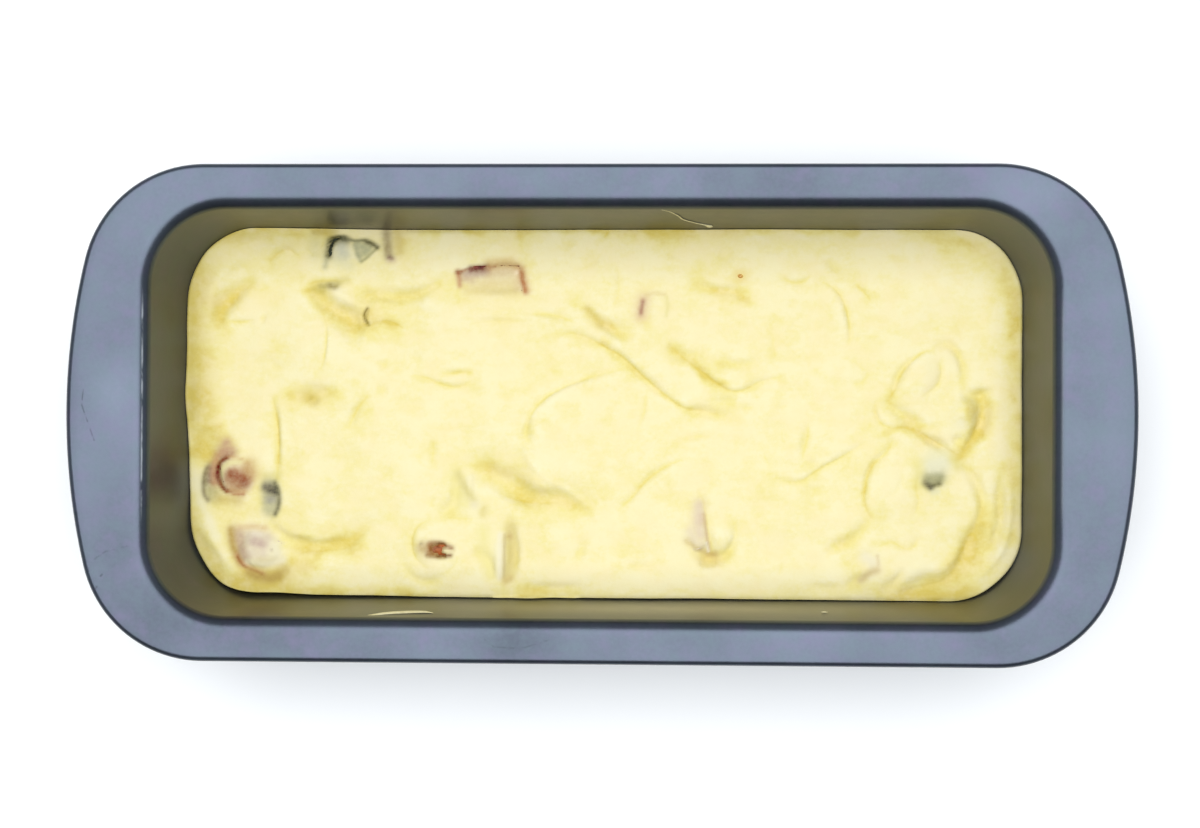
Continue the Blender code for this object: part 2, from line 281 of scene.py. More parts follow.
def extrude_ring(obj, ring, places):
    """Extrude the selected ring of edges once and put its new points in place.

    ring holds the point numbers of the ring in order; the numbers of the new ring are returned.
    """
    bpy.ops.mesh.extrude_edges_move()
    body = bmesh.from_edit_mesh(obj.data)
    body.verts.ensure_lookup_table()
    fresh = []
    for number, place in zip(ring, places):
        point = body.verts[number]
        across = [e.other_vert(point) for e in point.link_edges if e.other_vert(point).select]
        across[0].co = place
        fresh.append(across[0])
    body.verts.index_update()
    numbers = [point.index for point in fresh]
    bmesh.update_edit_mesh(obj.data)
    return numbers


def finish_piece(obj, finish, nodes, smooth=40):
    """Shade the piece, give it its finish and tie it to the frame."""
    choose(obj)
    bpy.ops.object.shade_smooth_by_angle(angle=math.radians(smooth))
    obj.data.materials.clear()
    obj.data.materials.append(finish)
    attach(obj, "root")
    if nodes:
        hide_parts(*nodes)


# ---------------------------------------------------------------- finishes
class Wire:
    """One value in a finish; expressions on it add Math nodes."""

    def __init__(self, finish, socket):
        self.finish = finish
        self.socket = socket

    def math(self, operation, *others, clamp=False):
        """A Math node on this value and others."""
        values = dict(enumerate((self, *others)))
        return self.finish.node(
            "ShaderNodeMath", {"operation": operation, "use_clamp": clamp}, values)

    def __add__(self, other):
        return self.math("ADD", other)

    def __sub__(self, other):
        return self.math("SUBTRACT", other)

    def __mul__(self, other):
        return self.math("MULTIPLY", other)

    def __truediv__(self, other):
        return self.math("DIVIDE", other)

    def __pow__(self, other):
        return self.math("POWER", other)

    def __rsub__(self, other):
        return (self * -1.0).math("ADD", other)

    __radd__ = __add__
    __rmul__ = __mul__

    def clamp(self):
        """The value kept between 0 and 1."""
        return self.math("ADD", 0.0, clamp=True)

    def rise(self, low, high):
        """A smooth step from 0 at low to 1 at high."""
        return self.finish.node(
            "ShaderNodeMapRange", {"interpolation_type": "SMOOTHSTEP"},
            {"Value": self, "From Min": low, "From Max": high})


class Finish:
    """A material and the nodes that make it."""

    def __init__(self, name):
        self.material = bpy.data.materials.new(name)
        self.material.use_nodes = True
        self.tree = self.material.node_tree
        self.shader = self.tree.nodes["Principled BSDF"]

    def feed(self, socket, value):
        """Link a wire to a socket, or set its number or colour."""
        if isinstance(value, Wire):
            self.tree.links.new(value.socket, socket)
        elif socket.type == "RGBA":
            socket.default_value = (*value[:3], 1.0)
        else:
            socket.default_value = value

    def node(self, kind, settings=None, values=None, output=0):
        """Any node: its settings, the values or links of its sockets, and the output used."""
        made = self.tree.nodes.new(kind)
        for name, setting in (settings or {}).items():
            setattr(made, name, setting)
        for key, value in (values or {}).items():
            self.feed(made.inputs[key], value)
        return Wire(self, made.outputs[output])

    def place(self):
        """Position on the piece, in metres."""
        return self.node("ShaderNodeTexCoord", output="Object")

    def axes(self):
        """The three parts of the position in millimetres."""
        scaled = self.node(
            "ShaderNodeVectorMath", {"operation": "SCALE"},
            {0: self.place(), "Scale": 1 / MM})
        split = self.tree.nodes.new("ShaderNodeSeparateXYZ")
        self.feed(split.inputs[0], scaled)
        return [Wire(self, output) for output in split.outputs]

    def noise(self, size, detail=3.0, rough=0.55, stretch=(1, 1, 1)):
        """Cloudy noise from 0 to 1 whose features are about size metres across."""
        mapped = self.node("ShaderNodeMapping", {}, {"Vector": self.place(), "Scale": stretch})
        return self.node(
            "ShaderNodeTexNoise", {},
            {"Vector": mapped, "Scale": 1 / size, "Detail": detail, "Roughness": rough})

    def attribute(self, name, output="Fac"):
        """A value painted on the piece's points."""
        return self.node("ShaderNodeAttribute", {"attribute_name": name}, {}, output)

    def mix(self, share, first, second):
        """Colour that goes from first to second."""
        return self.node(
            "ShaderNodeMix", {"data_type": "RGBA"}, {0: share, 6: first, 7: second}, 2)

    def bump(self, height, strength, distance):
        """A bumped normal."""
        return self.node(
            "ShaderNodeBump", {},
            {"Height": height, "Strength": strength, "Distance": distance}, "Normal")

    def surface(self, **values):
        """Set or link the shader's own sockets by name."""
        for name, value in values.items():
            self.feed(self.shader.inputs[name.replace("_", " ")], value)
        return self.material


class RoomLight(Finish):
    """The world's background and the nodes that make it."""

    def __init__(self, world):
        self.material = None
        self.tree = world.node_tree
        self.shader = self.tree.nodes["Background"]


def streak(across, along, start, end, width):
    """A mask that is 1 on the line from start to end and falls to 0 within width."""
    span = (end[0] - start[0], end[1] - start[1])
    length_squared = span[0] ** 2 + span[1] ** 2
    from_x = across - start[0]
    from_y = along - start[1]
    share = ((from_x * span[0] + from_y * span[1]) / length_squared).clamp()
    off_x = from_x - share * span[0]
    off_y = from_y - share * span[1]
    distance = (off_x * off_x + off_y * off_y) ** 0.5
    return distance.rise(width, 0.0)


# Marks on the flat rim, in millimetres: where each line runs, how wide it is and how dark.
RimMark = namedtuple("RimMark", "path width dark")

RIM_MARKS = (
    RimMark(((-144.9, 6.2), (-145.3, 2.0), (-144.1, -1.4), (-141.7, -8.0)), 0.35, 0.55),
    RimMark(((-141.1, -49.6), (-140.7, -49.2)), 0.6, 0.7),
    RimMark(((-139.6, -46.2), (-139.2, -45.8)), 0.5, 0.6),
    RimMark(((-143.2, -45.0), (-141.9, -41.8), (-138.2, -39.2), (-131.8, -37.6)), 0.45, 0.45),
    RimMark(((-31.0, -63.2), (-28.5, -65.2), (-20.8, -65.6), (-13.2, -63.2)), 0.4, 0.45),
)


# A patch of the rim that is a little lighter or darker: its middle, half-sizes in millimetres
# and how much of the coating's colour is added or taken away.
RimPatch = namedtuple("RimPatch", "middle half light")

RIM_PATCHES = (
    RimPatch((-116, -58), (22, 10), -0.22),
    RimPatch((-25, -64), (12, 6), -0.22),
    RimPatch((-70, -64), (18, 7), -0.10),
    RimPatch((52, 65), (14, 7), -0.12),
    RimPatch((32, 66), (6, 5), -0.10),
    RimPatch((-21, 66), (8, 5), 0.08),
    RimPatch((120, -60), (18, 10), -0.12),
    RimPatch((138, -45), (8, 14), -0.10),
    RimPatch((-136, 6), (8, 9), 0.26),
    RimPatch((-138, -36), (8, 16), -0.12),
    RimPatch((-110, 62), (26, 8), 0.08),
    RimPatch((122, 60), (14, 10), 0.10),
)


def bump_at(places, middle, half):
    """A mask that is 1 in the middle and falls away like a bell over the half-sizes."""
    total = None
    for place, centre, size in zip(places, middle, half):
        part = (place - centre) * (1 / size)
        total = part * part if total is None else total + part * part
    return (total * -1.0).math("EXPONENT")


def coating_finish(tin):
    """Blue-grey non-stick coating: a soft metallic sheen, smudges, patches and fine scratches, with a
    painted reflection of the batter on the front wall, painted shade on the lower end walls and painted
    highlight lines along the lips.
    """
    finish = Finish("nonstick_coating")
    across, along, up = finish.axes()
    cloudy = finish.noise(34 * MM, 3.0, 0.5)
    blotch = finish.noise(9 * MM, 4.0, 0.6)
    grain = finish.noise(1.1 * MM, 2.0, 0.5)
    coarse = finish.noise(2.6 * MM, 3.0, 0.6)
    dark = tuple(c * 0.5 for c in tin.coating)
    light = tuple(c * 1.5 for c in tin.coating)
    tone = (cloudy * 0.5 + blotch * 0.3 + grain * 0.2).rise(0.3, 0.7) * 0.28 + 0.36
    for patch in RIM_PATCHES:
        tone = tone + bump_at((across, along), patch.middle, patch.half) * patch.light
    colour = finish.mix(tone.clamp(), dark, light)
    marks = None
    for mark in RIM_MARKS:
        for start, end in zip(mark.path, mark.path[1:]):
            line = streak(across, along, start, end, mark.width) * mark.dark
            marks = line if marks is None else marks.math("MAXIMUM", line)
    broken = coarse.rise(0.38, 0.56)
    worn = marks * broken * up.rise(66.0, 69.0)
    colour = finish.mix(worn, colour, (0.03, 0.035, 0.045))
    # painted reflection: a yellowish, less metallic patch on the front wall stands for the batter mirrored
    # in the coating
    front = along.rise(-48.0, -52.0)
    painted_batter_reflection = front * bump_at((across, up), (20, 51), (62, 8)) * (0.7 + (blotch - 0.5) * 0.8)
    hue = (finish.noise(6 * MM, 3.0, 0.6) - 0.5) * 4.0
    colour = finish.mix(hue.clamp() * 0.42, colour, (0.10, 0.088, 0.15))
    colour = finish.mix((hue * -1.0).clamp() * 0.42, colour, (0.072, 0.105, 0.118))
    dashes = finish.noise(1.6 * MM, 2.0, 0.6, (1.0, 0.35, 1.0)).rise(0.30, 0.70)
    span = ((along - 2.0) * 0.029).math("ABSOLUTE").rise(1.0, 0.7)
    glint = bump_at((across,), (-128.3,), (0.2,)) * dashes * span
    colour = finish.mix(glint * 0.8, colour, (0.62, 0.68, 0.74))
    glint = bump_at((across,), (128.9,), (0.4,)) * span
    colour = finish.mix(glint * 0.22, colour, (0.30, 0.33, 0.36))
    colour = finish.mix(painted_batter_reflection * 0.6, colour, (0.55, 0.50, 0.36))
    # painted shade: the end walls are darker and less metallic below the rim, towards the batter
    shaded_ends = across.math("ABSOLUTE").rise(116.0, 119.0) * up.rise(52.0, 43.0)
    colour = finish.mix(shaded_ends * 0.45, colour, dark)
    rough = tin.roughness + (blotch - 0.5) * 0.10 + (grain - 0.5) * 0.05 + worn * 0.1
    relief = coarse * 0.4 + grain * 0.6
    return finish.surface(
        Base_Color=colour, Metallic=painted_batter_reflection * -0.35 - shaded_ends * 0.25 + 0.92, Roughness=rough,
        Specular_Tint=(1.0, 0.96, 0.84),
        Normal=finish.bump(relief, 0.10, 0.15 * MM))


# ---------------------------------------------------------------- the tin
def ring_at(outline, height):
    """One ring of points on an outline at one height."""
    return [(x, y, height) for x, y in outline_points(outline)]


def rings_between(first, last, count):
    """Evenly spaced rings between two rings, point by point."""
    shares = [step / (count + 1) for step in range(1, count + 1)]
    return [[tuple(a + (b - a) * share for a, b in zip(p, q)) for p, q in zip(first, last)]
            for share in shares]


def tin_rings(tin):
    """Rings of points on the tin's upper face, from the curled hem in to the floor."""
    top, hem = tin.height, tin.hem_radius
    curl = 0.75 * hem
    rings = []
    for turn in range(-150, 1, 30):
        angle = math.radians(turn)
        rings.append(ring_at(grow(RIM, curl * (math.cos(angle) - 1)),
                             top - tin.hem_drop + curl * (1 + math.sin(angle))))
    for turn in range(0, 91, 15):
        angle = math.radians(turn)
        rings.append(ring_at(grow(RIM, -hem * (1 - math.cos(angle))),
                             top - hem * (1 - math.sin(angle))))
    rings += rings_between(rings[-1], ring_at(grow(OPENING, tin.lip_radius), top), 7)
    last = math.pi / 2 - tin.wall_draft
    for step in range(15):
        angle = last * step / 14
        rings.append(ring_at(grow(OPENING, tin.lip_radius * (1 - math.sin(angle))),
                             top - tin.lip_radius * (1 - math.cos(angle))))
    foot = tin.sheet + tin.base_radius * (1 - math.sin(tin.wall_draft))
    rings += rings_between(rings[-1], ring_at(BASE, foot), 9)
    for step in range(9):
        angle = tin.wall_draft + (math.pi / 2 - tin.wall_draft) * step / 8
        inwards = tin.base_radius * (math.cos(tin.wall_draft) - math.cos(angle))
        rings.append(ring_at(grow(BASE, -inwards),
                             tin.sheet + tin.base_radius * (1 - math.sin(angle))))
    return rings


class LOAF_OT_add_tin(bpy.types.Operator):
    """Add the pressed loaf tin with its bowed rim, rolled lip and coating"""

    bl_idname = "loaf.add_tin"
    bl_label = "Loaf tin"

    def execute(self, context):
        tin = context.scene.fruit_loaf.tin
        rings = tin_rings(tin)
        deselect_first()
        bpy.ops.mesh.primitive_circle_add(vertices=len(rings[0]), radius=RIM.half_width)
        obj = start_piece("loaf_tin_pressed")
        bpy.ops.object.mode_set(mode="EDIT")
        body = bmesh.from_edit_mesh(obj.data)
        for point, place in zip(body.verts, rings[0]):
            point.co = place
        bmesh.update_edit_mesh(obj.data)
        bpy.ops.mesh.select_all(action="SELECT")
        ring = list(range(len(rings[0])))
        for places in rings[1:]:
            ring = extrude_ring(obj, ring, places)
        bpy.ops.mesh.edge_face_add()
        bpy.ops.mesh.inset(thickness=20 * MM)
        bpy.ops.mesh.select_all(action="SELECT")
        bpy.ops.mesh.normals_make_consistent(inside=False)
        bpy.ops.object.mode_set(mode="OBJECT")
        if obj.data.polygons[-1].normal.z < 0:
            choose(obj)
            bpy.ops.object.mode_set(mode="EDIT")
            bpy.ops.mesh.select_all(action="SELECT")
            bpy.ops.mesh.flip_normals()
            bpy.ops.object.mode_set(mode="OBJECT")
        wall = obj.modifiers.new("sheet", "SOLIDIFY")
        wall.thickness = tin.sheet
        wall.offset = -1
        wall.use_even_offset = True
        apply_modifiers(obj)
        finish_piece(obj, coating_finish(tin), ["loaf_tin"])
        return {"FINISHED"}


# ---------------------------------------------------------------- strokes
# A fold is one stroke of the spoon, in millimetres: a smooth curve through its points, the
# half-width and depth of its groove, how far the batter on its left stands up as a lip (less
# than 0: on its right) and how far back that lip reaches.
Fold = namedtuple("Fold", "path width depth lip reach", defaults=(0.0, 4.0))

MIDDLE_FOLDS = (
    Fold(((-14, 22.3), (-9, 23.8), (-3, 21.6), (5, 17), (12, 11), (18, 5.8), (24, 2), (29, 1.5),
          (36, -0.5)), 0.9, 0.66, 0.63, 5.0),
    Fold(((-12, 23), (0, 20), (10, 12.5), (22, 3.2)), 2.4, 0.42),
    Fold(((24, 1.5), (31, 1.0), (38, -0.8)), 2.0, 0.77),
    Fold(((30.5, 5.0), (34, 4.0), (39, 5.0)), 1.3, 0.42),
    Fold(((19, 21), (22, 18), (27, 13.6), (32, 9.8), (37, 7.2), (41, 7.4), (46, 9.8), (53, 12)),
         0.9, 0.6, 0.56, 4.0),
    Fold(((18.5, 20.5), (23, 17.4), (29, 17)), 2.4, 1.02),
    Fold(((25, 15.5), (31, 11)), 2.0, 0.51),
    Fold(((-6, 32.3), (-3, 29.2), (1, 25.8), (5, 23.2), (9, 21.2)), 1.9, 1.44, 0.35, 4.0),
    Fold(((-45, 28.2), (-35, 28.9), (-25, 28.2), (-15, 27.4), (-7, 25.4)), 0.8, -0.3),
    Fold(((-38, 26.6), (-30, 27.2), (-22, 26.9)), 1.0, 0.3),
    Fold(((-21, 29.0), (-14, 28.9), (-8, 27.0)), 1.0, 0.42),
    Fold(((-39, 30.6), (-33, 31.0)), 1.0, 0.18),
    # the round swirl and the valley below it
    Fold(((8, 13.6), (2, 12.2), (-6, 10.2), (-13, 7.2), (-18.5, 3), (-21.6, -2), (-22.6, -7)),
         0.8, 0.54, 0.7, 5.0),
    Fold(((-21.3, -1), (-22.5, -5), (-22.2, -9)), 1.5, 0.68),
    Fold(((-23, -7), (-21.6, -13), (-17, -18), (-10, -22.3), (-4, -27), (0, -31)), 0.9, -0.42),
    Fold(((-3.5, 11), (-1.5, 10)), 0.9, 0.3),
    Fold(((12.6, 6.5), (11.8, 0.5), (10.2, -4.5)), 0.7, 0.3, 0.14, 2.0),
    Fold(((9, -6.5), (4, -11.5), (-4, -16)), 0.8, 0.15, 0.21, 3.0),
    Fold(((-17, -6), (-11, -1.5), (-7, -4)), 2.0, 0.26),
    Fold(((-39, -11), (-33, -17), (-26, -21), (-20, -23.6), (-13, -24.3), (-7, -27), (-2, -29)),
         3.4, 1.87),
    Fold(((-36, -13), (-29, -16.5), (-20, -18)), 4.0, 0.77),
    Fold(((-30, -23.0), (-24, -25.0), (-18, -25.8), (-12, -25.4)), 0.9, 0.42, -0.49, 4.0),
    Fold(((4.5, -27.6), (8, -24.4), (11.4, -20.3), (15.5, -17), (20, -14.4), (25, -12.6)),
         0.9, 0.6, -0.35, 4.0),
    Fold(((23.5, -6.9), (27, -6.0), (31, -6.2)), 0.7, 0.36),
    Fold(((13.5, -10.3), (9.5, -14.5)), 0.8, 0.18),
    Fold(((-5, -36), (-6, -40), (-7, -43.5)), 1.3, 0.51),
    Fold(((7, -43.4), (14, -43.7)), 1.1, 0.24),
)

LEFT_FOLDS = (
    Fold(((-112.5, 24), (-111.8, 29), (-109.5, 33.5), (-106, 36.6), (-101, 38.4)), 2.4, 1.61),
    Fold(((-110, 26.8), (-106, 26.8), (-102, 27.6)), 0.9, 0.48, 0.28, 3.0),
    Fold(((-100.5, 28.3), (-98.5, 27.2)), 1.2, 0.3),
    Fold(((-98, 43.5), (-95.5, 46.3), (-92.3, 47.9), (-90.2, 46.8), (-88, 45.4)),
         0.9, 0.48, 0.28, 3.0),
    Fold(((-99, 41), (-96, 44)), 1.8, 0.34),
    Fold(((-86.5, 48), (-84.2, 45.8)), 0.8, 0.3),
    Fold(((-84, 46.8), (-82, 48.5), (-81, 51)), 0.9, 0.36),
    Fold(((-87, 37.3), (-84.5, 36), (-80.5, 32), (-76, 29.8), (-70.5, 28.6)), 2.2, 1.5, 0.25, 4.0),
    Fold(((-80, 29.5), (-75, 26.6), (-69, 25)), 3.6, 1.27),
    Fold(((-87, 37.6), (-83, 38.6), (-77, 38.6), (-72, 39.6)), 1.0, 0.6, 0.21, 3.0),
    Fold(((-68.4, 31.4), (-69.9, 29.0), (-69.6, 27.2), (-68.0, 25.6)), 0.6, 0.96, 0.21, 3.0),
    Fold(((-68.4, 26.2), (-64.5, 27.1), (-60.5, 26.2), (-58, 24.8)), 1.1, 0.66, 0.21, 3.0),
    Fold(((-69.5, 31), (-69.2, 36)), 1.4, 0.42),
    Fold(((-73, 34.2), (-66, 34.8), (-58, 34.1), (-52, 35.8), (-48, 38.2), (-44.5, 40.6)),
         1.7, 1.02),
    Fold(((-62, 31.3), (-54, 29.7), (-47, 28.0)), 1.3, 0.42),
    Fold(((-81.9, 30), (-80.7, 25), (-80.5, 20), (-81.3, 15), (-83.5, 12)), 0.8, 0.48, 0.28, 3.0),
    Fold(((-99, 16.5), (-94.5, 13), (-89.5, 14)), 1.5, 0.26),
    Fold(((-91.5, 5.6), (-85, 5.6), (-77.5, 7.2)), 1.6, 0.94),
    Fold(((-89, 7.6), (-81, 7.8)), 1.4, 0.42),
    Fold(((-86.3, 5.5), (-85, 3.6), (-84, 5.5)), 1.2, 0.78),
    Fold(((-66, 15.2), (-62.8, 13.2)), 1.2, 0.42),
    Fold(((-66.5, 6.9), (-62.5, 6.7)), 1.2, 0.36),
    Fold(((-74.5, -4.5), (-73.3, -1), (-71.2, 2.3), (-68.5, 5.4)), 1.1, 0.54),
    Fold(((-96.3, 5), (-95.4, 0), (-94.7, -6), (-94.6, -13), (-95.2, -20)), 0.8, 0.66, 0.21, 3.0),
    Fold(((-96.5, 1), (-95.6, -5), (-95.6, -11)), 1.7, 0.42),
    Fold(((-96, -27), (-94.3, -31.7), (-91.4, -34.5), (-87.5, -35.3), (-83.5, -34.8)), 0.9, -0.54),
    Fold(((-97, -30), (-94.2, -34.6), (-88, -37.8), (-80, -38.2), (-73.5, -37), (-69.5, -33),
          (-68.5, -29)), 2.4, 1.44),
    Fold(((-90, -40.7), (-81, -40.1), (-72, -39.2)), 1.0, 0.36, -0.28, 4.0),
    Fold(((-57, 17), (-53, 15.6)), 1.4, 0.26),
    Fold(((-56, 11.2), (-52, 10.8), (-48, 9.1), (-44, 8.0), (-41, 8.2), (-38, 9.8)),
         0.8, 0.54, 0.21, 3.0),
    Fold(((-47.5, 11.6), (-42, 12.1), (-37.5, 12.3)), 0.8, 0.48, 0.21, 2.5),
)

FRONT_FOLDS = (
    Fold(((-49.2, -7), (-49.3, -11), (-49.8, -15.5)), 0.9, 0.36),
    Fold(((-47.8, -14), (-47.2, -24)), 1.0, -0.24),
    Fold(((-49, -24), (-50, -27)), 1.0, 0.18),
    Fold(((-42.3, -16.5), (-42.4, -22), (-43.5, -26.5), (-48, -29.8)), 1.6, 0.77),
    Fold(((-45, -29.8), (-40, -30.6), (-36, -30)), 1.1, 0.3),
    Fold(((-49, -30.2), (-53.4, -32.4), (-55.2, -37), (-53.9, -42), (-50.5, -45.2)),
         0.8, 0.54, 0.42, 4.0),
    Fold(((-57.8, -43), (-55.5, -47.3), (-50, -48.8), (-45.5, -46.8)), 1.5, 0.59),
    Fold(((-45.5, -46.8), (-42.6, -43.5), (-42.2, -40.8)), 0.7, 0.24),
    Fold(((-37.5, -39), (-34, -42.5), (-31.2, -48.5)), 1.9, 0.85),
    Fold(((-27.2, -29), (-26.6, -34), (-25.8, -41), (-27.8, -49.5)), 1.7, 1.44, -0.21, 3.0),
    Fold(((-24, -50.2), (-14, -50.6), (-6, -49.6)), 1.4, 0.59),
    # around the lilac wedge
    Fold(((27.5, -21.6), (29.4, -25.6), (29.9, -31), (31, -36.5), (32, -41)),
         0.8, 0.72, -0.14, 2.0),
    Fold(((23, -35.5), (26.5, -38.4), (31, -41.8), (35.6, -40.8), (38.4, -35.5), (38, -31)),
         1.6, 1.19),
    Fold(((28.5, -42.5), (33.5, -42.6)), 1.8, 0.68),
    Fold(((58, -49.5), (65, -49.9), (71, -49.2)), 1.5, 0.51),
    Fold(((51, -46), (52.6, -42.5)), 1.0, 0.24),
)

BACK_FOLDS = (
    Fold(((-11.5, 50), (-8.5, 49.2)), 1.7, 0.42),
    Fold(((0.2, 50.5), (1.8, 53.0)), 0.9, 0.6),
    Fold(((-5.5, 42), (-1.5, 45.5), (0, 48)), 1.0, 0.21),
    Fold(((3.2, 44.5), (4.7, 40), (4.0, 34.5), (2.0, 30.6)), 0.7, 0.24),
    Fold(((-34, 50.6), (-30, 50.2)), 1.0, 0.24),
    Fold(((-46, 48), (-44, 46.5)), 1.2, 0.24),
    Fold(((18.5, 46.8), (21, 46.2)), 1.0, 0.24),
    Fold(((25.5, 40.5), (28.5, 37.6), (33, 36.2), (38.5, 35.8), (42.5, 32)), 1.9, 1.19, 0.21, 4.0),
    Fold(((33, 46.5), (38, 45.8)), 2.4, 0.42),
    Fold(((44, 48), (49, 47.8), (53, 46.8)), 1.6, 0.42),
    Fold(((51.5, 40.3), (54.5, 38.8), (57.5, 38.8), (60.5, 41)), 0.7, 0.42, 0.14, 2.5),
    Fold(((64.5, 45.6), (68.5, 41.6)), 1.3, 0.51),
    Fold(((63, 39), (66.5, 36.8), (69.2, 33.4), (70.8, 29), (71.4, 24.8), (70.8, 20)),
         0.8, 0.66, -0.56, 4.0),
    Fold(((72.5, 38.2), (75, 36), (77.5, 33.2)), 1.0, 0.6, 0.14, 2.5),
    Fold(((73, 23), (74, 21)), 1.2, 0.24),
    Fold(((48, 27), (49, 22), (50.2, 15.5)), 1.1, 0.24),
    Fold(((52, 24.6), (56, 25.0)), 1.1, 0.21),
    Fold(((53, 32.5), (56, 31.5)), 1.4, 0.3),
    Fold(((31, 14.6), (35, 15.6), (39, 14.4), (44, 15.6), (45.5, 18.5)), 1.3, 0.42),
    Fold(((71.5, 9.6), (74.5, 9.9), (76.5, 13.5)), 1.1, 0.3),
    Fold(((40, 2), (44, 2.4)), 1.1, 0.24),
    Fold(((50, 2), (54, 2.6)), 1.1, 0.18),
)

RIGHT_FOLDS = (
    Fold(((59.2, -2), (59.1, -7), (57.7, -13)), 1.0, 0.48, 0.21, 3.0),
    Fold(((49.5, -17.6), (53.5, -19.3), (58, -18.8), (62.5, -15.6), (69, -12), (77, -7.4)),
         0.8, 0.48, 0.42, 4.0),
    Fold(((59.5, -15), (62, -13.5)), 1.8, 0.51),
    Fold(((57.5, -21.4), (64, -22.2)), 1.3, 0.34),
    Fold(((65, -6), (67, -8)), 1.1, 0.24),
    Fold(((46.5, -10.5), (48.5, -15)), 0.9, 0.21),
    Fold(((82, 3.6), (84, 7.5), (86, 12), (89, 15.8), (92.8, 18.3), (96.5, 18.4)),
         1.1, 0.72, -0.49, 4.0),
    Fold(((95.5, 19.5), (99.5, 20.2), (102.4, 17.6), (103.8, 13.5), (103.8, 9.5)),
         1.5, 0.94, -0.42, 4.0),
    Fold(((96.8, 16.5), (97.7, 12.4), (96.3, 8.8), (92, 5.4)), 1.0, 0.42, -0.21, 3.0),
    Fold(((81.6, 5), (84.3, 2), (88.5, -0.8), (94, -3.4), (97, -4.6)), 1.8, 1.1, 0.21, 4.0),
    Fold(((78.6, 4.6), (79.0, 0.5), (80.8, -2.6), (84.5, -4.2)), 0.8, 0.54, 0.21, 2.5),
    Fold(((82.5, -4.1), (87.5, -3.5), (92, -5.1), (97, -8.2), (103.2, -11.8)),
         1.1, 0.84, 0.56, 4.0),
    Fold(((91, -5.5), (97, -8.4), (102, -11)), 1.7, 0.59),
    Fold(((110, 8.5), (109.8, 3), (109.2, -2), (107, -6.8), (103, -11.4)), 1.9, 2.21, 0.14, 4.0),
    Fold(((103, 7.2), (107, 6.0), (113.8, 7.4)), 1.6, 1.1),
    Fold(((112.8, 6.5), (110.8, 0.5), (109.8, -4.2)), 1.2, 0.72, 0.35, 3.0),
    Fold(((102.5, -5.5), (101.8, -9.5)), 1.6, 0.85),
    Fold(((103, -11.6), (105.3, -15.6), (108.4, -20.5), (109.4, -26), (107.3, -33),
          (104.4, -38.6)), 1.3, 0.94, -0.49, 5.0),
    Fold(((107.5, -31), (104.8, -38), (101.8, -43.5), (98.2, -47.6), (91, -49.4), (83, -51)),
         2.4, 1.7, -0.42, 5.0),
    Fold(((108.5, -36), (105, -43), (103.5, -48.5)), 2.6, 0.77),
    Fold(((115.6, -14.5), (114.7, -22), (114.4, -31), (112.4, -37.3), (111.5, -40)), 1.3, 0.94),
    Fold(((116.9, -17), (117.0, -28), (115.8, -36), (112.6, -42.5), (107.5, -48)), 1.2, -0.66),
    Fold(((110.2, -30), (112.6, -36.5)), 0.9, -0.36),
    Fold(((84.5, -6.5), (82, -10.6), (78.6, -13.6), (76.3, -18), (75.6, -23), (76.6, -27.4),
          (78.6, -30)), 1.0, 0.72, 0.49, 4.0),
    Fold(((76.5, -29), (74.6, -33.6), (71.5, -36.6), (67, -38.6), (64.5, -42)), 1.7, 0.85),
    Fold(((85.5, -13), (86.3, -18), (84.3, -22), (80, -23)), 1.2, 0.21),
    Fold(((91.2, -16), (90.4, -21), (91.3, -25), (90.4, -29)), 1.0, 0.33),
    Fold(((79, -37.8), (83.5, -36.4), (87, -38.4), (89.8, -38.1), (92, -34.8)),
         1.1, 0.48, -0.21, 3.0),
    Fold(((86.3, -43.5), (85, -47), (80.5, -51)), 1.6, 0.77),
    Fold(((76.5, -45.8), (73.5, -47.2), (70.5, -50.5)), 1.6, 0.77),
)

# Ridges and hollows where the batter meets the walls.
EDGE_FOLDS = (
    Fold(((-116.5, 18), (-116.2, 26), (-113.5, 37), (-106, 46), (-98, 49.5), (-86, 50.5)),
         2.0, -0.59),
    Fold(((-118.5, -22), (-116.5, -32), (-112.3, -39.8), (-107, -45), (-99, -48.6)), 2.2, -0.77),
    Fold(((-117.5, -4), (-116.5, -10), (-112.5, -13.5)), 3.0, 1.36),
    Fold(((-32, -54.0), (-22, -54.4), (-12, -54.8), (-6.4, -54.8)), 1.0, -7),
    Fold(((-13, -54.4), (-9.5, -54.8), (-6.3, -54.8)), 1.0, -3),
    Fold(((-109.0, -12.7), (-111.0, -13.8), (-112.4, -16.6), (-112.2, -19.4), (-110.0, -22.3)),
         0.55, 0.9),
)

FOLDS = MIDDLE_FOLDS + LEFT_FOLDS + FRONT_FOLDS + BACK_FOLDS + RIGHT_FOLDS + EDGE_FOLDS

# A mound is a soft swelling: its middle, half-sizes, turn in degrees and height.
Mound = namedtuple("Mound", "middle half turn height")

